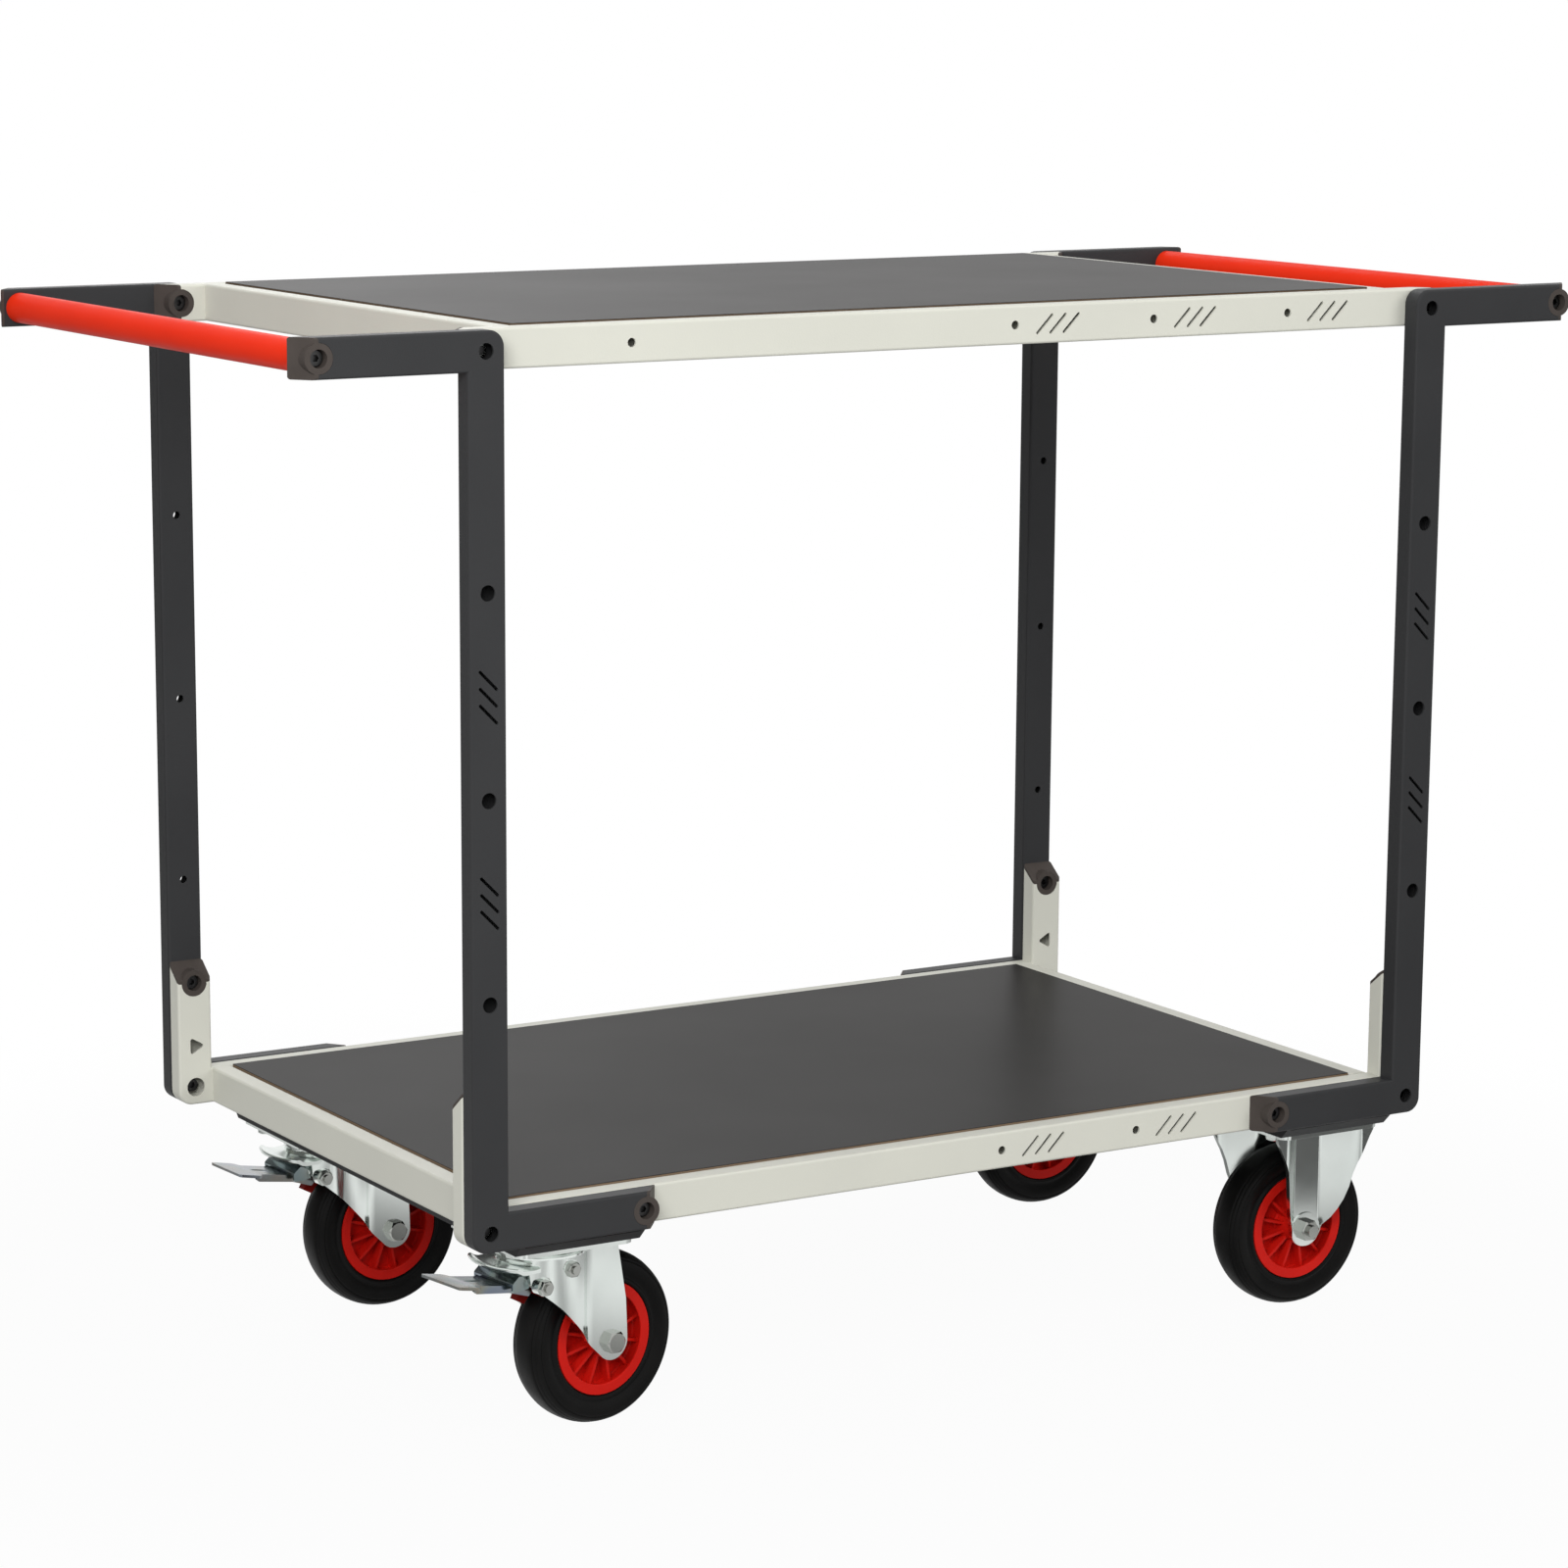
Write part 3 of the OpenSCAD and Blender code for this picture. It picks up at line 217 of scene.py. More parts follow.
def filmBoard(name, low, high, s):
    material, tree, shader = startMaterial(name)
    coords = objectCoords(tree)
    height = addNode(tree, "ShaderNodeSeparateXYZ", {0: coords}).outputs["Z"]
    apart = calculate(tree, "ABSOLUTE", calculate(tree, "SUBTRACT", height, (low + high) / 2))
    isFilm = calculate(tree, "GREATER_THAN", apart, (high - low) / 2 - s["filmDepth"])
    layer = calculate(tree, "PINGPONG", height, s["layers"])
    isDark = calculate(tree, "GREATER_THAN", layer, s["layers"] / 2)
    ply = blendColours(tree, isDark, s["ply"], s["plyDark"])
    cloud = spread(tree, noise(tree, coords, s["cloudScale"], s["cloudDetail"]), 0.0, 1.0)
    film = blendColours(tree, cloud, s["film"], s["filmShade"])
    tree.links.new(blendColours(tree, isFilm, ply, film), shader.inputs["Base Color"])
    shader.inputs["Specular IOR Level"].default_value = s["sheen"]
    gloss = spread(tree, noise(tree, coords, s["glossScale"]), s["rough"], s["rough"] + s["roughSpread"])
    tree.links.new(gloss, shader.inputs["Roughness"])
    grain = noise(tree, coords, s["grainScale"], 1.0)
    tree.links.new(bumpOn(tree, grain, s["grainStrength"], s["grainDepth"]), shader.inputs["Normal"])
    return material


def heights(piece):
    levels = [(piece.matrix_world @ vertex.co).z for vertex in piece.data.vertices]
    return min(levels), max(levels)


# Each with its colour, its second colour, roughness, sheen, and the scale and depth of its grain in metres
finishes = {
    "post_paint": clouded(paintLook, "anthracitePowder", (0.034, 0.0345, 0.036), (0.038, 0.0385, 0.040),
                          0.46, 0.14, 900.0, 0.0003),
    "shelf_paint": clouded(paintLook, "paleGreyPowder", (0.66, 0.66, 0.585), (0.635, 0.635, 0.565),
                           0.40, 0.20, 700.0, 0.0002),
    "handle_paint": clouded(paintLook, "redPowder", (0.86, 0.034, 0.009), (0.82, 0.030, 0.008),
                            0.42, 0.03, 700.0, 0.0002),
    "plug_plastic": clouded(plasticLook, "taupePlastic", (0.058, 0.049, 0.044), (0.070, 0.059, 0.053),
                            0.50, 0.12, 900.0, 0.0003),
    "hub_plastic": clouded(plasticLook, "redPlastic", (0.62, 0.012, 0.007), (0.56, 0.010, 0.006),
                           0.36, 0.14, 500.0, 0.0001),
    "shoe_plastic": clouded(plasticLook, "redShoe", (0.30, 0.012, 0.008), (0.26, 0.010, 0.007),
                            0.5, 0.15, 500.0, 0.0002),
    "tyre_rubber": clouded(plasticLook, "blackRubber", (0.0042, 0.0042, 0.0041), (0.0062, 0.006, 0.0058),
                           0.42, 0.10, 700.0, 0.0002),
    "zinc_steel": zincPlate("zincPlate", (0.83, 0.87, 0.84), (0.75, 0.80, 0.77), 0.15),
    # The screws' steel is nearly black, as painted shade of the dark bores that they sit in
    "screw_steel": zincPlate("screwSteelPaintedShade", (0.050, 0.050, 0.052), (0.075, 0.075, 0.075), 0.40),
}
boltZinc = zincPlate("boltZinc", (0.36, 0.37, 0.35), (0.46, 0.47, 0.44), 0.18)
# The lever's zinc: a teal tint, and a base far darker than the zinc, which is painted shade
tealZincPaintedShade = zincPlate("tealZincPaintedShade", (0.16, 0.22, 0.23), (0.34, 0.40, 0.41), 0.18, 0.3)
# The pedal's zinc: drifting tints, and a base far darker than the zinc, which is painted shade
stainedZincPaintedShade = zincPlate("stainedZincPaintedShade", (0.18, 0.20, 0.23), (0.30, 0.32, 0.35), 0.18, 0.7)
boardFinishes = {name: filmBoard(name + "_film", *heights(nodes[name]), boardLook)
                 for name in ("top_board", "lower_board")}

slotOf = {entry["node"]: entry["material_slot"] for entry in frame["record"]["subparts"]}
# Nodes given another finish than their slot's, by the start of their names; the carriers' dark paint and the darkened
# zinc of pedal and lever are painted shade
otherFinishesAndShade = {
    "release_lever": tealZincPaintedShade, "brake_pedal": stainedZincPaintedShade, "brake_pins": boltZinc, "axle": boltZinc,
    # The carriers take the dark post paint as painted shade, for the shadow under the foot arms
    "castor_carrier": finishes["post_paint"],
}


def finishOf(node):
    if node in boardFinishes:
        return boardFinishes[node]
    for start, finish in otherFinishesAndShade.items():
        if node.startswith(start):
            return finish
    return finishes[slotOf[node]]


for nodeName, node in nodes.items():
    node.data.materials.clear()
    node.data.materials.append(finishOf(nodeName))
print("stage: finishes set")


# Helpers for the modelled pieces, whose sizes are in millimetres
nearly = 0.1  # how close counts as being at a place
facing = 0.9  # how much of a normal has to point one way
cutReach = 70.0  # half the length of a hole's cutter, past both sides of any piece


def mm(*values):
    return Vector(values) / 1000


def deselectAll():
    if bpy.context.object and bpy.context.object.mode != "OBJECT":
        bpy.ops.object.mode_set(mode="OBJECT")
    bpy.ops.object.select_all(action="DESELECT")


def startFrom(operator, name, **settings):
    deselectAll()
    operator(**settings)
    piece = bpy.context.active_object
    piece.name = piece.data.name = name
    return piece


def activate(*pieces):
    deselectAll()
    for piece in pieces:
        piece.select_set(True)
    bpy.context.view_layer.objects.active = pieces[0]


def editMode():
    bpy.ops.object.mode_set(mode="EDIT")


def objectMode():
    bpy.ops.object.mode_set(mode="OBJECT")


# Leaves the piece in edit mode with only the parts selected that pass the test
def pick(piece, kind, test):
    activate(piece)
    editMode()
    bpy.ops.mesh.select_mode(type=kind)
    bpy.ops.mesh.select_all(action="DESELECT")
    objectMode()
    mesh = piece.data
    parts = {"VERT": mesh.vertices, "EDGE": mesh.edges, "FACE": mesh.polygons}[kind]
    for part in parts:
        if kind == "VERT":
            part.select = test(part.co * 1000)
        elif kind == "EDGE":
            part.select = test(*[mesh.vertices[index].co * 1000 for index in part.vertices])
        else:
            part.select = test(part.center * 1000, part.normal)
    editMode()


# Draws a chain of points in millimetres by extruding one vertex
def drawChain(name, points, closed=True):
    points = [Vector(point) / 1000 for point in points]
    piece = startFrom(bpy.ops.mesh.primitive_plane_add, name, size=0.01, location=(0, 0, 0))
    editMode()
    bpy.ops.mesh.select_all(action="SELECT")
    bpy.ops.mesh.merge(type="CENTER")
    bpy.ops.transform.translate(value=points[0])
    for start, end in zip(points, points[1:]):
        bpy.ops.mesh.extrude_region_move(TRANSFORM_OT_translate={"value": end - start})
    if closed:
        bpy.ops.mesh.select_all(action="SELECT")
        bpy.ops.mesh.edge_face_add()
    objectMode()
    return piece


def extrudeAll(piece, move):
    activate(piece)
    editMode()
    bpy.ops.mesh.select_all(action="SELECT")
    bpy.ops.mesh.extrude_region_move(TRANSFORM_OT_translate={"value": Vector(move) / 1000})
    bpy.ops.mesh.select_all(action="SELECT")
    bpy.ops.mesh.normals_make_consistent(inside=False)
    objectMode()


# Merges doubles and turns all faces outwards
def outward(piece):
    activate(piece)
    editMode()
    bpy.ops.mesh.select_mode(type="VERT")
    bpy.ops.mesh.select_all(action="SELECT")
    bpy.ops.mesh.remove_doubles(threshold=0.00001)
    bpy.ops.mesh.normals_make_consistent(inside=False)
    objectMode()


def modify(piece, kind, **settings):
    activate(piece)
    modifier = piece.modifiers.new(kind, kind)
    for key, value in settings.items():
        setattr(modifier, key, value)
    bpy.ops.object.modifier_apply(modifier=modifier.name)


def combine(piece, other, operation):
    modify(piece, "BOOLEAN", operation=operation, object=other, solver="EXACT")
    bpy.data.objects.remove(other)


def roundEdges(piece, width, angle=40):
    modify(piece, "BEVEL", width=width / 1000, segments=2, limit_method="ANGLE",
           angle_limit=math.radians(angle), harden_normals=False)


def arc(centre, radius, start, end, steps):
    angles = [math.radians(start + (end - start) * step / steps) for step in range(steps + 1)]
    return [(centre[0] + radius * math.cos(angle), centre[1] + radius * math.sin(angle)) for angle in angles]


# A closed outline pushed along Y, or along Z where it is drawn in plan
def prism(name, outline, low, high, axis="y"):
    if axis == "y":
        piece = drawChain(name, [(x, low, z) for x, z in outline])
        extrudeAll(piece, (0, high - low, 0))
    else:
        piece = drawChain(name, [(x, y, low) for x, y in outline])
        extrudeAll(piece, (0, 0, high - low))
    return piece


def mirrorOutline(points):
    return points + [(x, -y) for x, y in reversed(points)]


# A bar with a round section along Y
def crossBar(name, x, z, radius, low, high, sides=40):
    bar = startFrom(bpy.ops.mesh.primitive_cylinder_add, name, vertices=sides, radius=radius / 1000,
                    depth=(high - low) / 1000, location=mm(x, (low + high) / 2, z), rotation=(math.pi / 2, 0, 0))
    settle(bar)
    return bar


# Round holes along Y right through a piece, as x, z and radius
def drillAcross(piece, *holes):
    for x, z, radius in holes:
        combine(piece, crossBar("hole", x, z, radius, -cutReach, cutReach), "DIFFERENCE")


# A round hole along Z through a sheet with its middle at z
def drillDown(piece, x, y, z, radius, sides=40):
    hole = startFrom(bpy.ops.mesh.primitive_cylinder_add, "hole", vertices=sides, radius=radius / 1000,
                     depth=0.02, location=mm(x, y, z))
    settle(hole)
    combine(piece, hole, "DIFFERENCE")


def settle(piece):
    activate(piece)
    bpy.ops.object.transform_apply(location=True, rotation=True, scale=True)


def duplicate(piece, name):
    activate(piece)
    bpy.ops.object.duplicate(linked=False)
    copy = bpy.context.active_object
    copy.name = copy.data.name = name
    return copy


def smooth(piece, angle):
    activate(piece)
    bpy.ops.object.shade_smooth_by_angle(angle=math.radians(angle))
    modify(piece, "WEIGHTED_NORMAL", keep_sharp=True)


# The last steps of a pressed sheet: edges sharper than the angle are rounded
def finishSheet(piece, width, angle, smoothTo=40):
    outward(piece)
    roundEdges(piece, width, angle)
    outward(piece)
    smooth(piece, smoothTo)


# A closed outline turned all the way round an axis through the origin
def spinProfile(name, points, steps, axis="Y"):
    piece = drawChain(name, points, closed=False)
    activate(piece)
    editMode()
    bpy.ops.mesh.select_all(action="SELECT")
    bpy.ops.mesh.edge_face_add()
    bpy.ops.mesh.delete(type="ONLY_FACE")
    bpy.ops.mesh.select_all(action="SELECT")
    bpy.ops.mesh.spin(steps=steps, angle=2 * math.pi, center=(0, 0, 0), axis=Vector((0, axis == "Y", axis == "Z")))
    objectMode()
    outward(piece)
    return piece


# Swivel fork: one sheet pressed into a round crown and skirt, two flat legs and a lip over the brake
swivelFork = {
    "trail": 58.5, "axleHeight": 81.0, "axleHole": 6.05, "crownTop": 178.0, "sheet": 4.0, "skirtDrop": 140.0,
    "crownRadius": 42.0, "crownSteps": 60, "legHalf": 30.0, "footRadius": 17.5, "openBack": 4.0,
    "shoulder": 6.0, "shoulderSteps": 5, "valley": 7.0, "valleySteps": 6,
    # the cross pins, as x, z and the outer face of their seats
    "pins": [(-25.0, 148.5, 37.5), (2.0, 162.0, 42.7)],
    "pinHole": 4.05, "seatRadius": 8.0, "seatDepth": 9.0, "seatSlack": 0.3, "seatGap": 0.03, "seatClear": 20.0,
    "kingpinHole": 7.05, "rounding": 0.6, "roundFrom": 45,
    # the legs from the side: upper end of the back edge, as x from the axle, then points from the foot's edge;
    # arcs as first and last angle in degrees, and steps
    "backTop": 5.5, "backEdge": [(-1.6, 38.0), (-0.4, 12.0)], "footArc": (5, -140, 16),
    "front": [(33, 81.6), (17.4, 99.5), (6, 111), (-7, 125), (-18, 134.8), (-27, 143), (-35, 152.8)],
    "nose": (-35.5, 159.5), "noseRadius": 6.5, "noseArc": (235, 180, 5), "noseTop": 164.0, "past": 2.0,
    "cutHalf": 60.0,
    # the block that the lip is cut to, and the lip's section as radius and height
    "lipFrom": -70.0, "lipTo": -28.0, "lipHalf": 36.0, "lipLow": 150.0, "lipHigh": 180.0, "lipSteps": 96,
    "lipSection": [(38.5, 162.6), (57, 162.6), (60.5, 163.6), (63.5, 165.8), (65.4, 166.8), (66, 168.2),
                   (65.6, 169.6), (64.3, 170), (62.6, 169.5), (59.8, 167.2), (56.5, 166), (50, 165.8),
                   (44, 166.6), (38.5, 169)],
}


def swivelForkShell(s):
    top, half = s["crownTop"], s["legHalf"]
    reach = math.sqrt(s["crownRadius"] ** 2 - half ** 2)
    turn = math.degrees(math.atan2(half, reach))
    back = s["trail"] + s["footRadius"] + s["openBack"]
    curve = arc((0, 0), s["crownRadius"], -turn, turn - 360, s["crownSteps"])
    plan = [(back, -half), *curve, (back, half)]
    shell = drawChain("forkShell", [(x, y, top) for x, y in plan])
    extrudeAll(shell, (0, 0, -s["skirtDrop"]))
    # the folds between the round skirt and the flat legs
    pick(shell, "EDGE", lambda a, b: max(abs(a.x - reach), abs(b.x - reach)) < nearly
         and abs(a.z - b.z) > s["skirtDrop"] / 2)
    bpy.ops.mesh.bevel(offset=s["valley"] / 1000, segments=s["valleySteps"], affect="EDGES", clamp_overlap=False)
    # the open back and underside
    pick(shell, "FACE", lambda centre, normal: centre.x > back - nearly or normal.z < -facing)
    bpy.ops.mesh.delete(type="FACE")
    # the shoulder all round the top, without the open back and the edges of no length that the bevel left
    pick(shell, "EDGE", lambda a, b: min(a.z, b.z) > top - nearly and min(a.x, b.x) <= back - nearly
         and (a - b).length > 0)
    bpy.ops.mesh.bevel(offset=s["shoulder"] / 1000, segments=s["shoulderSteps"], affect="EDGES", clamp_overlap=False)
    objectMode()
    outward(shell)
    modify(shell, "SOLIDIFY", thickness=s["sheet"] / 1000, offset=-1, use_even_offset=True)
    return shell


def swivelForkOutline(s):
    trail, axle, edge, top = s["trail"], s["axleHeight"], s["trail"] + s["footRadius"], s["crownTop"] + 1
    backEdge = [(edge + x, axle + z) for x, z in s["backEdge"]]
    foot = arc((trail, axle), s["footRadius"], *s["footArc"])
    nose = arc(s["nose"], s["noseRadius"], *s["noseArc"])
    front = -s["crownRadius"] - s["past"]
    return [(trail + s["backTop"], top), *backEdge, *foot, *s["front"], *nose, (front, s["noseTop"]), (front, top)]


def swivelForkLip(s):
    lip = spinProfile("forkLip", [(radius, 0, height) for radius, height in s["lipSection"]], s["lipSteps"], "Z")
    low, high, side = s["lipFrom"], s["lipTo"], s["lipHalf"]
    corners = [(low, -side), (high, -side), (high, side), (low, side)]
    block = prism("lipTrim", corners, s["lipLow"], s["lipHigh"], "z")
    combine(lip, block, "INTERSECT")
    return lip


def buildSwivelFork(s):
    shell = swivelForkShell(s)
    combine(shell, prism("forkSide", swivelForkOutline(s), -s["cutHalf"], s["cutHalf"]), "INTERSECT")
    combine(shell, swivelForkLip(s), "UNION")
    for sign in (-1, 1):
        for x, z, face in s["pins"]:
            low, high = sorted((sign * (face - s["seatDepth"]), sign * face))
            combine(shell, crossBar("pinSeat", x, z, s["seatRadius"], low, high), "UNION")
            low, high = sorted((sign * (face + s["seatGap"]), sign * (face + s["seatClear"])))
            seatCut = crossBar("seatCut", x, z, s["seatRadius"] + s["seatSlack"], low, high)
            combine(shell, seatCut, "DIFFERENCE")
    drillAcross(shell, *[(x, z, s["pinHole"]) for x, z, face in s["pins"]],
                (s["trail"], s["axleHeight"], s["axleHole"]))
    drillDown(shell, 0, 0, s["crownTop"] - s["sheet"] / 2, s["kingpinHole"])
    finishSheet(shell, s["rounding"], s["roundFrom"])
    return shell


# Brake pedal: sloping tread, leaning deck, two flanges and a sleeve on the pivot pin
brakePedal = {
    "sheet": 3.0, "treadHalf": 28.5, "deckHalf": 20.5, "lean": 10.0, "tip": (-114.0, 163.05), "fold": -90.0,
    "deckEnd": -44.0, "pivot": (-25.0, 148.5), "eye": 6.5, "sleeve": 6.0, "sleeveShort": 0.5, "pinHole": 4.05,
    "rounding": 0.7, "roundFrom": 40, "deckFrom": -50.0, "deckRise": 2.5, "past": 1.0, "corner": 5.0,
    "underShift": 0.5, "tipShift": 0.8, "cutHalf": 40.0, "cutLow": 120.0, "cutHigh": 190.0,
    "eyeArc": (-95, 80, 10),
    # from the fold along X, and up from the deck
    "foldTop": [(-4, 0.35), (0, 0.1), (4, 0)],
    # from the fold along X, and out from the tread's side or the deck's
    "treadEnd": [(-2, 0), (1.5, -1.5)], "deckStart": [(3.5, 1), (6, 0)],
    # the flange: from the fold, below and above the pivot's height, and from the deck's end
    "flangeFold": [(2, -0.4), (-1, -5.5), (2, -7.5)], "flangeUnder": [(-51, -4), (-33, -10), (-30, -10.8)],
    "flangeOver": [(-30, -0.8), (-37, -1.8)], "flangeEnd": [(0, -0.5), (-3, -0.4)],
    "dent": {"at": -76, "length": 17.0, "half": 5.0, "depth": 4.4, "above": 3.4},
}


def deckAt(s, x):
    return s["pivot"][1] + s["deckRise"] - (x - s["deckFrom"]) * math.tan(math.radians(s["lean"]))


# Points as far along X from the start, and as high above the deck
def onDeck(s, start, points):
    return [(start + along, deckAt(s, start + along) + up) for along, up in points]


def pedalDeck(s):
    tipX, tipZ = s["tip"]
    top = [(tipX, tipZ), *onDeck(s, s["fold"], s["foldTop"]), *onDeck(s, s["deckEnd"], [(0, 0)])]
    under = [(x + s["underShift"], z - s["sheet"]) for x, z in reversed(top[1:])]
    outline = top + under + [(tipX + s["tipShift"], tipZ - s["sheet"])]
    return prism("pedalDeck", outline, -s["cutHalf"], s["cutHalf"])


def pedalPlan(s):
    fold, half, neck, front, corner = s["fold"], s["treadHalf"], s["deckHalf"], s["tip"][0] - s["past"], s["corner"]
    plan = [(front, 0.0), *arc((front + corner, half - corner), corner, 180, 90, 6)]
    plan += [(fold + x, half + y) for x, y in s["treadEnd"]] + [(fold + x, neck + y) for x, y in s["deckStart"]]
    outline = mirrorOutline([*plan, (s["deckEnd"] + s["past"], neck)])
    return prism("pedalPlan", outline, s["cutLow"], s["cutHigh"], "z")


def pedalFlange(s):
    x, z = s["pivot"]
    under, over = ([(at, z + up) for at, up in s[key]] for key in ("flangeUnder", "flangeOver"))
    return [*onDeck(s, s["fold"], s["flangeFold"]), *under, *arc((x, z), s["eye"], *s["eyeArc"]), *over,
            *onDeck(s, s["deckEnd"], s["flangeEnd"])]


def buildPedal(s):
    deck, neck = pedalDeck(s), s["deckHalf"]
    combine(deck, pedalPlan(s), "INTERSECT")
    for sign in (-1, 1):
        low, high = sorted((sign * (neck - s["sheet"]), sign * neck))
        combine(deck, prism("pedalFlange", pedalFlange(s), low, high), "UNION")
    x, z = s["pivot"]
    reach = neck - s["sleeveShort"]
    combine(deck, crossBar("pedalSleeve", x, z, s["sleeve"], -reach, reach), "UNION")
    drillAcross(deck, (x, z, s["pinHole"]))
    form = s["dent"]
    dent = startFrom(bpy.ops.mesh.primitive_uv_sphere_add, "dent", segments=32, ring_count=16, radius=1,
                     location=mm(form["at"], 0, deckAt(s, form["at"]) + form["above"]),
                     scale=mm(form["length"], form["half"], form["depth"]),
                     rotation=(0, math.radians(s["lean"]), 0))
    settle(dent)
    combine(deck, dent, "DIFFERENCE")
    finishSheet(deck, s["rounding"], s["roundFrom"])
    return deck


# Release lever: small hood over the pedal's deck, with a cheek at each side, as x and z
releaseLever = {
    "half": 28.5, "sheet": 2.4, "footShort": 1.0, "rounding": 0.6, "roundFrom": 38,
    "hood": [(-54, 152.0), (-54, 154.0), (-53.2, 155.2), (-47, 160.3), (-45.6, 160.6), (-43, 159.6),
             (-39.2, 157.2), (-40, 155.4), (-44.6, 157.4), (-46, 157.4), (-51.4, 153.2), (-51.4, 151.5)],
    "cheek": [(-54, 153.6), (-54, 147.6), (-53, 146.5), (-44, 146.5), (-36.5, 147.8), (-35.5, 149), (-39, 157),
              (-43, 159.4), (-45.6, 160.3), (-47, 160.1)],
    "foot": [(-53, 151.7), (-53, 153.4), (-47, 158.4), (-47, 150.7)],
}


def buildLever(s):
    half = s["half"]
    hood = prism("leverHood", s["hood"], -half, half)
    for sign in (-1, 1):
        low, high = sorted((sign * (half - s["sheet"]), sign * half))
        combine(hood, prism("leverCheek", s["cheek"], low, high), "UNION")
    combine(hood, prism("leverFoot", s["foot"], s["footShort"] - half, half - s["footShort"]), "UNION")
    finishSheet(hood, s["rounding"], s["roundFrom"])
    return hood


# Tyre: bead, bulged wall, shoulder grooves and crowned tread, as radius and half width
tyreForm = {
    "half": [(51, 15.5), (53.2, 15.5), (53.7, 17.1), (54.6, 18.4), (56, 18.8), (57.3, 18.4), (58.2, 17.4),
             (59.2, 17), (60.6, 17.4), (63, 18.5), (66, 19.4), (69.5, 19.9), (71.8, 19.9), (72.8, 19.5),
             (73.2, 18.9), (73.7, 19.4), (74.6, 19.4), (75.9, 18.7), (77, 17.5), (77.4, 16.6), (76.9, 16),
             (76.9, 15.5), (77.9, 14.9), (78.7, 13.7), (79.1, 12.6), (78.5, 12), (78.5, 11.5), (79.6, 10.9),
             (80.2, 9.1), (80.75, 5.5), (81, 0)],
    "steps": 128, "smoothTo": 60,
}


def buildTyre(s):
    half = s["half"]
    profile = half + [(radius, -along) for radius, along in reversed(half[:-1])]
    tyre = spinProfile("tyreForm", [(radius, along, 0) for radius, along in profile], s["steps"])
    smooth(tyre, s["smoothTo"])
    return tyre


# Hub: flanged ring, web and boss, as radius and half width, with ribs between them on both sides
hubForm = {
    "half": [(51, 15.5), (53, 15.5), (53, 17.5), (52.6, 18), (44.3, 18), (43.5, 17.6), (43.2, 16.7), (43.7, 15.7),
             (46.1, 14.9), (46.5, 13.9), (46.5, 3.2), (45.3, 2), (17.6, 2), (16.4, 2.8), (15.6, 4.5), (15, 24.9),
             (14.4, 25.5), (10.05, 25.5)],
    "steps": 96, "smoothTo": 35,
    "ribs": 12, "ribHalf": 1.5, "ribRoot": 14.2, "ribTip": 47.6, "ribLow": 1.0, "ribHigh": 14.9, "ribEnd": 11.4,
    "ribSlope": 8.0, "ribDip": 0.6, "ribDrop": 0.5, "ribRounding": 0.5, "ribRoundFrom": 30,
}


def buildRib(s):
    root, tip, low = s["ribRoot"], s["ribTip"], s["ribLow"]
    outline = [(root, low), (tip, low), (tip, s["ribEnd"]), (tip - s["ribSlope"], s["ribEnd"] + s["ribDip"]),
               (root + s["ribSlope"], s["ribHigh"] - s["ribDrop"]), (root, s["ribHigh"])]
    rib = drawChain("hubRib", [(radius, along, -s["ribHalf"]) for radius, along in outline])
    extrudeAll(rib, (0, 0, 2 * s["ribHalf"]))
    roundEdges(rib, s["ribRounding"], s["ribRoundFrom"])
    return rib


def buildHub(s):
    half = s["half"]
    profile = half + [(radius, -along) for radius, along in reversed(half)]
    hub = spinProfile("hubForm", [(radius, along, 0) for radius, along in profile], s["steps"])
    rib = buildRib(s)
    ribs = []
    for flip in (0, math.pi):
        for step in range(s["ribs"]):
            copy = duplicate(rib, "rib")
            copy.rotation_euler = (flip, 0, 0)
            settle(copy)
            copy.rotation_euler = (0, 2 * math.pi * (step + 0.5) / s["ribs"], 0)
            settle(copy)
            ribs.append(copy)
    bpy.data.objects.remove(rib)
    activate(*ribs)
    bpy.ops.object.join()
    combine(hub, bpy.context.active_object, "UNION")
    outward(hub)
    smooth(hub, s["smoothTo"])
    return hub


# Fixed fork: plate and two legs, each with a flat channel between flared wings
fixedFork = {
    "plateHalfX": 60.0, "plateHalfY": 68.0, "plateTop": 190.0, "plateSheet": 4.0, "plateCorner": 12.0,
    "cornerSteps": 8, "boltX": 47.0, "boltY": 38.0, "boltHole": 5.5, "boltSides": 32,
    "axleHeight": 81.0, "axleHole": 6.05, "bossRadius": 17.0, "bossInner": 28.0, "bossFace": 31.5, "bossSides": 56,
    "sheet": 4.0, "legLow": 55.0, "sunk": 1.0, "footRadius": 17.5, "footArc": (184, 356, 20), "cutHalf": 80.0,
    "rounding": 0.6, "roundFrom": 45,
    # centre line of half a leg in plan, at mid sheet, with its folds rounded
    "plan": [(0, 28), (13.6, 28), (15.4, 28.35), (17, 29.2), (18.6, 30.7), (38, 50.1), (41.5, 53.4), (44.2, 55.6),
             (46.6, 56.6), (49, 56.9), (59.5, 57.3)],
    # the right edge of a leg from the side, from the foot up
    "side": [(17.5, 81), (18.6, 84), (24.5, 92), (29, 101), (33, 111), (36.6, 124), (39.2, 138), (42.3, 149),
             (46, 157.5), (50.5, 167), (54.6, 175.5), (58.2, 181.5), (59.8, 187)],
}


def fixedPlate(s):
    halfX, halfY, radius, corners = s["plateHalfX"], s["plateHalfY"], s["plateCorner"], []
    for signX, signY, start in ((1, 1, 0), (-1, 1, 90), (-1, -1, 180), (1, -1, 270)):
        centre = (signX * (halfX - radius), signY * (halfY - radius))
        corners += arc(centre, radius, start, start + 90, s["cornerSteps"])
    return prism("fixedPlate", corners, s["plateTop"] - s["plateSheet"], s["plateTop"], "z")


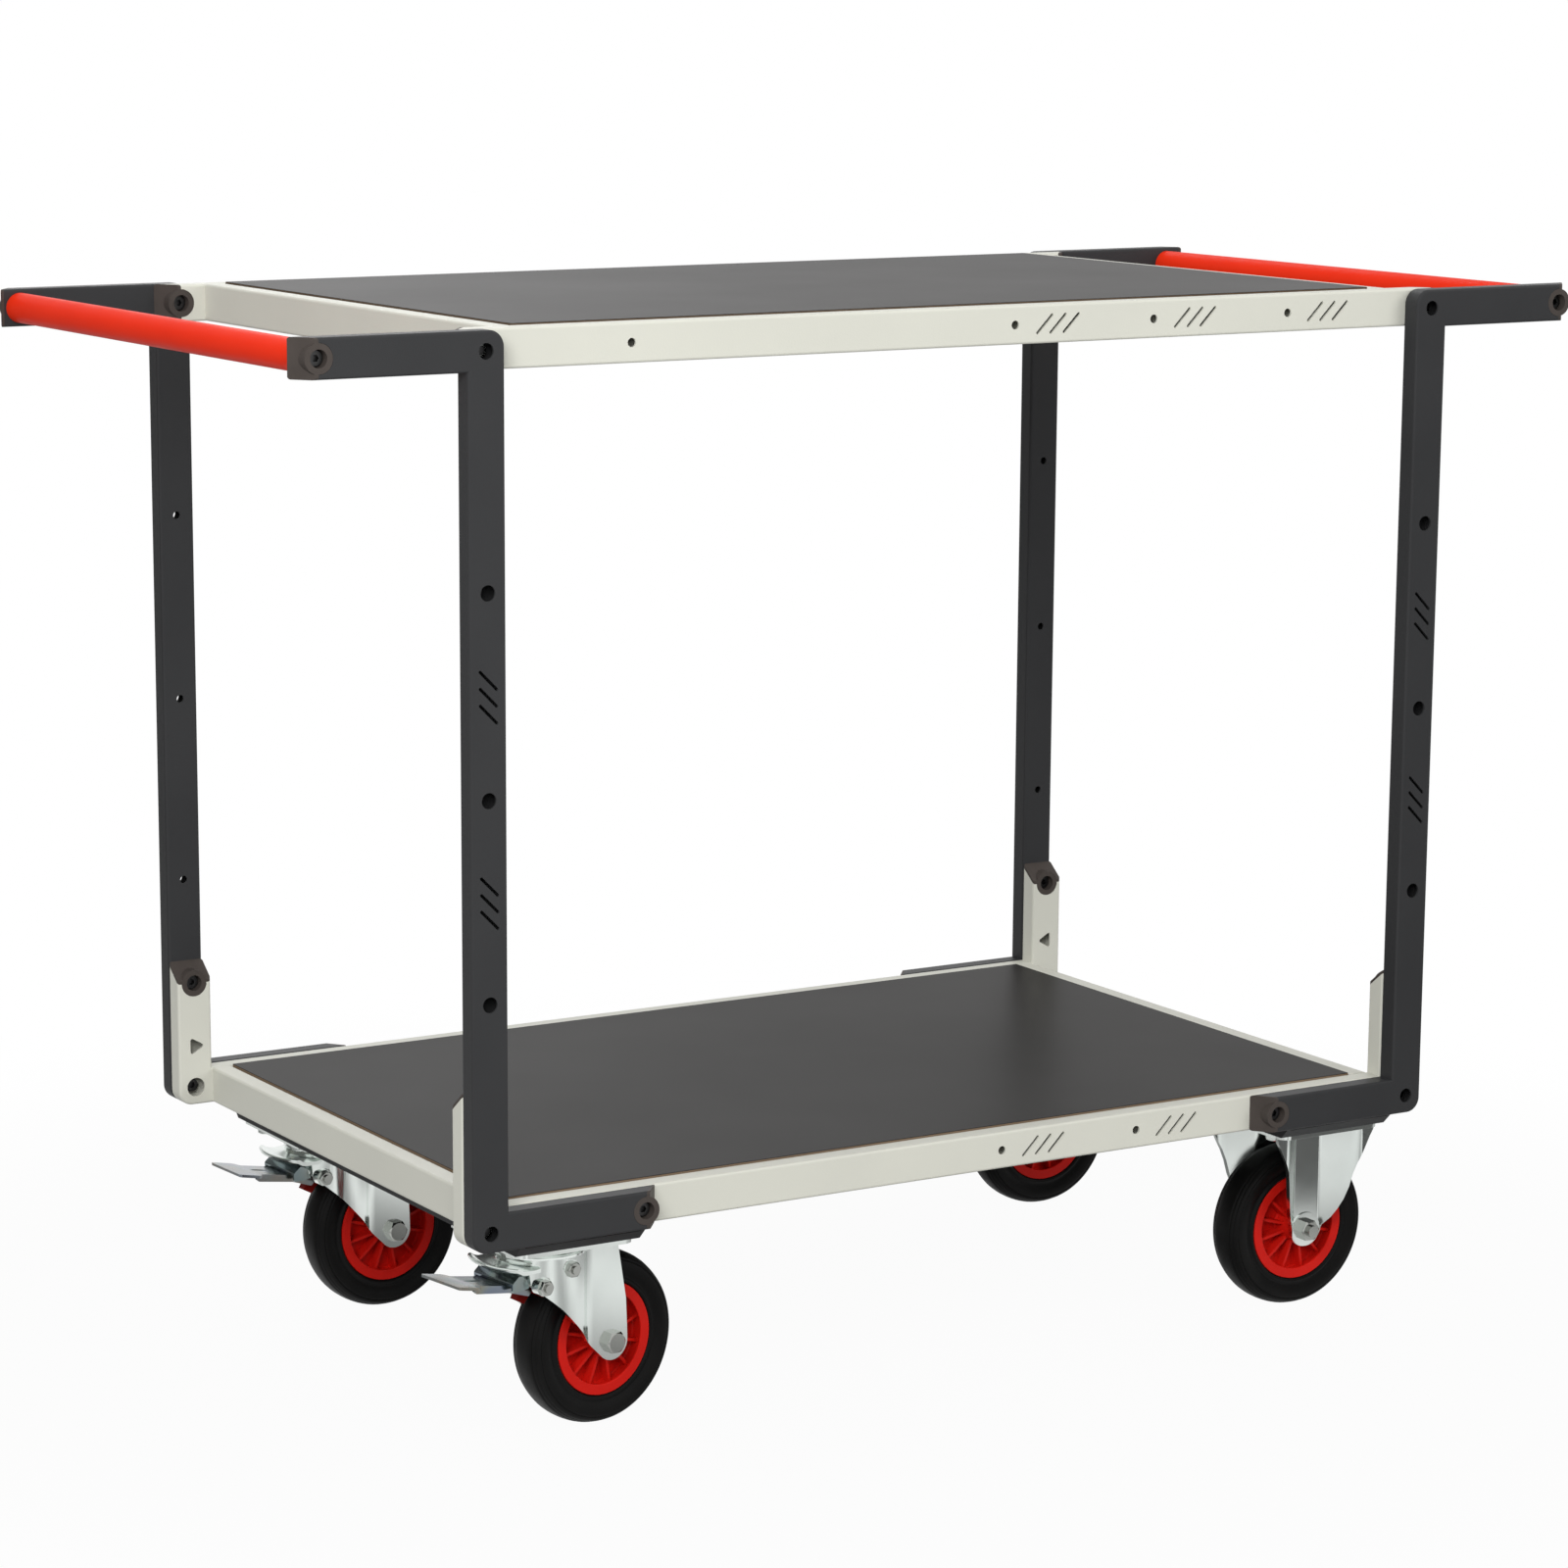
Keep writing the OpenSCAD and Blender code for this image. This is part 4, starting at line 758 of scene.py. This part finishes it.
def fixedLeg(s, sign):
    axle, foot = s["axleHeight"], s["legLow"]
    line = [(-x, sign * y) for x, y in reversed(s["plan"][1:])] + [(x, sign * y) for x, y in s["plan"]]
    leg = drawChain("fixedLeg", [(x, y, foot) for x, y in line], closed=False)
    extrudeAll(leg, (0, 0, s["plateTop"] - s["plateSheet"] + s["sunk"] - foot))
    modify(leg, "SOLIDIFY", thickness=s["sheet"] / 1000, offset=0, use_even_offset=True)
    outward(leg)
    outline = s["side"] + [(-x, z) for x, z in reversed(s["side"])]
    outline += arc((0, axle), s["footRadius"], *s["footArc"])
    combine(leg, prism("legSide", outline, -s["cutHalf"], s["cutHalf"]), "INTERSECT")
    low, high = sorted((sign * s["bossInner"], sign * s["bossFace"]))
    combine(leg, crossBar("axleBoss", 0, axle, s["bossRadius"], low, high, s["bossSides"]), "UNION")
    return leg


def buildFixedFork(s):
    fork = fixedPlate(s)
    for sign in (-1, 1):
        combine(fork, fixedLeg(s, sign), "UNION")
    drillAcross(fork, (0, s["axleHeight"], s["axleHole"]))
    for signX in (-1, 1):
        for signY in (-1, 1):
            drillDown(fork, signX * s["boltX"], signY * s["boltY"], s["plateTop"] - s["plateSheet"] / 2,
                      s["boltHole"], s["boltSides"])
    finishSheet(fork, s["rounding"], s["roundFrom"])
    return fork


# Where the castors stand, in millimetres and degrees
castorPlaces = {
    "front_left": {"at": (-396.0, -219.0), "turn": 9.5},
    "back_left": {"at": (-396.0, 219.0), "turn": 4.5},
    "front_right": {"at": (446.5, -219.0), "turn": 0.0},
    "back_right": {"at": (446.5, 219.0), "turn": 0.0},
}
leftCastors = ("front_left", "back_left")
rightCastors = ("front_right", "back_right")


def placeAtCastor(piece, castor, offset):
    spot = castorPlaces[castor]
    activate(piece)
    piece.location = mm(*offset)
    settle(piece)
    piece.rotation_euler = (0, 0, math.radians(spot["turn"]))
    settle(piece)
    piece.location = mm(*spot["at"], 0)
    settle(piece)


# Gives a piece its finish, and puts it on its body in place of its node
def standFor(piece, node, body):
    piece.data.materials.clear()
    piece.data.materials.append(finishOf(node))
    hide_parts(node)
    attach(piece, body)


def wheelMiddle(castor):
    return (swivelFork["trail"] if castor in leftCastors else 0, 0, swivelFork["axleHeight"])


# Copies a form made at its plate's middle, or at its wheel's, to each of the castors
def copyToCastors(start, form, body, castors, atWheel=False):
    for castor in castors:
        node = start + "_" + castor
        piece = duplicate(form, node + "_form")
        placeAtCastor(piece, castor, wheelMiddle(castor) if atWheel else (0, 0, 0))
        standFor(piece, node, "frame" if body == "frame" else body + "_" + castor)
    bpy.data.objects.remove(form)


copyToCastors("fork", buildSwivelFork(swivelFork), "castor", leftCastors)
print("stage: swivel forks modelled")
copyToCastors("brake_pedal", buildPedal(brakePedal), "pedal", leftCastors)
copyToCastors("release_lever", buildLever(releaseLever), "pedal", leftCastors)
print("stage: pedals and levers modelled")
copyToCastors("tyre", buildTyre(tyreForm), "wheel", leftCastors + rightCastors, atWheel=True)
copyToCastors("hub", buildHub(hubForm), "wheel", leftCastors + rightCastors, atWheel=True)
print("stage: wheels modelled")
copyToCastors("fork", buildFixedFork(fixedFork), "frame", rightCastors)
print("stage: fixed forks modelled")

# Pieces whose CAD edges are sharp, with the width of the rounding in millimetres
roundings = {
    "post_end_plugs": 0.8, "shelf_end_plugs": 0.8, "handle_screws": 0.35, "arm_screws": 0.35,
    "shelf_screws": 0.35, "castor_bolts": 0.35, "top_board": 0.5, "lower_board": 0.5,
}
copiedMesh = {"weld": 0.000002, "flatWithin": 0.4, "roundFrom": 40, "smoothTo": 35}


def roundedCopy(node, width, s):
    piece = duplicate(nodes[node], node + "_form")
    settle(piece)
    bpy.ops.mesh.customdata_custom_splitnormals_clear()
    editMode()
    bpy.ops.mesh.select_mode(type="VERT")
    bpy.ops.mesh.select_all(action="SELECT")
    bpy.ops.mesh.remove_doubles(threshold=s["weld"])
    bpy.ops.mesh.dissolve_limited(angle_limit=math.radians(s["flatWithin"]))
    objectMode()
    roundEdges(piece, width, s["roundFrom"])
    smooth(piece, s["smoothTo"])
    standFor(piece, node, "frame")


for node, width in roundings.items():
    roundedCopy(node, width, copiedMesh)
print("stage: plugs, screws, bolts and boards rounded")

# Pale floor, white surroundings and soft lamps
stageSetup = {
    "floorSize": 9.0, "floorColour": (0.40, 0.40, 0.40),
    # the part of plain white at the cart, for the camera and in reflections, and where it starts and ends to grow
    "plainNear": 0.96, "mirroredNear": 0.92, "plainFrom": 0.75, "plainTo": 1.5,
    # only reflections show these bands along the floor: middle of a pale one, distance between two, dark one's part
    "bandMiddle": 0.035, "bandStep": 0.477, "bandDark": 0.14,
    "worldStrength": 0.42,
    "lamps": [
        # name, place, aim, width, height, watts
        ("keyLamp", (-2.9, -3.3, 2.6), (-0.2, 0, 0.6), 2.4, 2.0, 150.0),
        ("frontLamp", (2.6, -4.0, 2.0), (0.1, 0, 0.5), 2.4, 2.0, 60.0),
        ("topLamp", (0.2, 0.6, 4.2), (0, 0, 0.5), 3.4, 2.4, 38.0),
        ("backLamp", (3.4, 9.0, 5.6), (0, 0, 0.4), 2.6, 2.2, 75.0),
    ],
    "mirroredLamps": ("backLamp",),
    # dark cards that only reflections show: name, low corner, high corner
    "cards": [("frontCard", (0.50, -0.56, 0.0), (1.7, -0.56, 1.0)), ("leftCard", (-1.1, 0.2, 0.0), (-1.1, 3.0, 1.8))],
    "cardColour": (0.22, 0.22, 0.22),
}
mirrorRays = ("Is Glossy Ray", "Is Transmission Ray")


def lightRay(tree, kinds):
    path = addNode(tree, "ShaderNodeLightPath")
    seen = path.outputs[kinds[0]]
    for kind in kinds[1:]:
        seen = calculate(tree, "MAXIMUM", seen, path.outputs[kind])
    return seen


# Plain white from the distance "plainFrom" on, and the part "near" of it at the cart
def plainPart(tree, away, near, kinds, setup):
    plain = addNode(tree, "ShaderNodeMapRange", {"Value": away},
                    {"From Min": setup["plainFrom"], "From Max": setup["plainTo"], "To Min": near, "To Max": 1.0},
                    interpolation_type="SMOOTHSTEP").outputs["Result"]
    return calculate(tree, "MULTIPLY", lightRay(tree, kinds), plain)


# The floor keeps the cart's shadow near it and goes over to plain white further out
def addFloor(setup):
    floor = startFrom(bpy.ops.mesh.primitive_plane_add, "floor", size=setup["floorSize"], location=(0, 0, 0))
    material = bpy.data.materials.new("floorMaterial")
    material.use_nodes = True
    tree = material.node_tree
    tree.nodes.clear()
    output = tree.nodes.new("ShaderNodeOutputMaterial")
    matte = addNode(tree, "ShaderNodeBsdfDiffuse", values={"Color": (*setup["floorColour"], 1)})
    white = addNode(tree, "ShaderNodeEmission", values={"Color": (1, 1, 1, 1), "Strength": 1.0})
    away = addNode(tree, "ShaderNodeVectorMath", {0: objectCoords(tree)}, operation="LENGTH").outputs["Value"]
    seen = plainPart(tree, away, setup["plainNear"], ("Is Camera Ray",), setup)
    mirrored = plainPart(tree, away, setup["mirroredNear"], mirrorRays, setup)
    across = addNode(tree, "ShaderNodeSeparateXYZ", {0: objectCoords(tree)}).outputs["X"]
    perMetre = 2 * math.pi / setup["bandStep"]
    turns = calculate(tree, "MULTIPLY_ADD", across, perMetre, -setup["bandMiddle"] * perMetre)
    bands = spread(tree, calculate(tree, "COSINE", turns), setup["bandDark"], 1.0, -1.0, 1.0)
    part = calculate(tree, "MAXIMUM", seen, calculate(tree, "MULTIPLY", mirrored, bands))
    mix = addNode(tree, "ShaderNodeMixShader", {0: part, 1: matte.outputs[0], 2: white.outputs[0]})
    tree.links.new(mix.outputs[0], output.inputs["Surface"])
    floor.data.materials.append(material)


def addCards(setup):
    material, _, shader = startMaterial("cardMaterial")
    shader.inputs["Base Color"].default_value = (*setup["cardColour"], 1)
    for name, low, high in setup["cards"]:
        across = low[1] == high[1]
        middle, size = (Vector(low) + Vector(high)) / 2, Vector(high) - Vector(low)
        card = startFrom(bpy.ops.mesh.primitive_plane_add, name, size=1, location=middle,
                         rotation=(math.pi / 2, 0, 0 if across else math.pi / 2))
        card.scale = (size.x if across else size.y, size.z, 1)
        settle(card)
        card.data.materials.append(material)
        card.visible_camera = card.visible_diffuse = card.visible_shadow = False


def addWorld(setup):
    world = bpy.data.worlds.new("surroundings")
    bpy.context.scene.world = world
    world.use_nodes = True
    tree = world.node_tree
    tree.nodes.clear()
    output = tree.nodes.new("ShaderNodeOutputWorld")
    soft = addNode(tree, "ShaderNodeBackground", values={"Color": (1, 1, 1, 1), "Strength": setup["worldStrength"]})
    white = addNode(tree, "ShaderNodeBackground", values={"Color": (1, 1, 1, 1), "Strength": 1.0})
    shown = lightRay(tree, ("Is Camera Ray", *mirrorRays))
    mix = addNode(tree, "ShaderNodeMixShader", {0: shown, 1: soft.outputs[0], 2: white.outputs[0]})
    tree.links.new(mix.outputs[0], output.inputs["Surface"])


def addLamps(setup):
    for name, place, aim, width, height, watts in setup["lamps"]:
        data = bpy.data.lights.new(name, "AREA")
        data.shape, data.size, data.size_y, data.energy = "RECTANGLE", width, height, watts
        lamp = bpy.data.objects.new(name, data)
        bpy.context.scene.collection.objects.link(lamp)
        lamp.visible_camera = False
        lamp.visible_glossy = name in setup["mirroredLamps"]
        lamp.location = place
        lamp.rotation_mode = "QUATERNION"
        lamp.rotation_quaternion = (Vector(aim) - Vector(place)).to_track_quat("-Z", "Y")


addFloor(stageSetup)
addCards(stageSetup)
addWorld(stageSetup)
addLamps(stageSetup)
print("stage: floor, surroundings and lamps set")
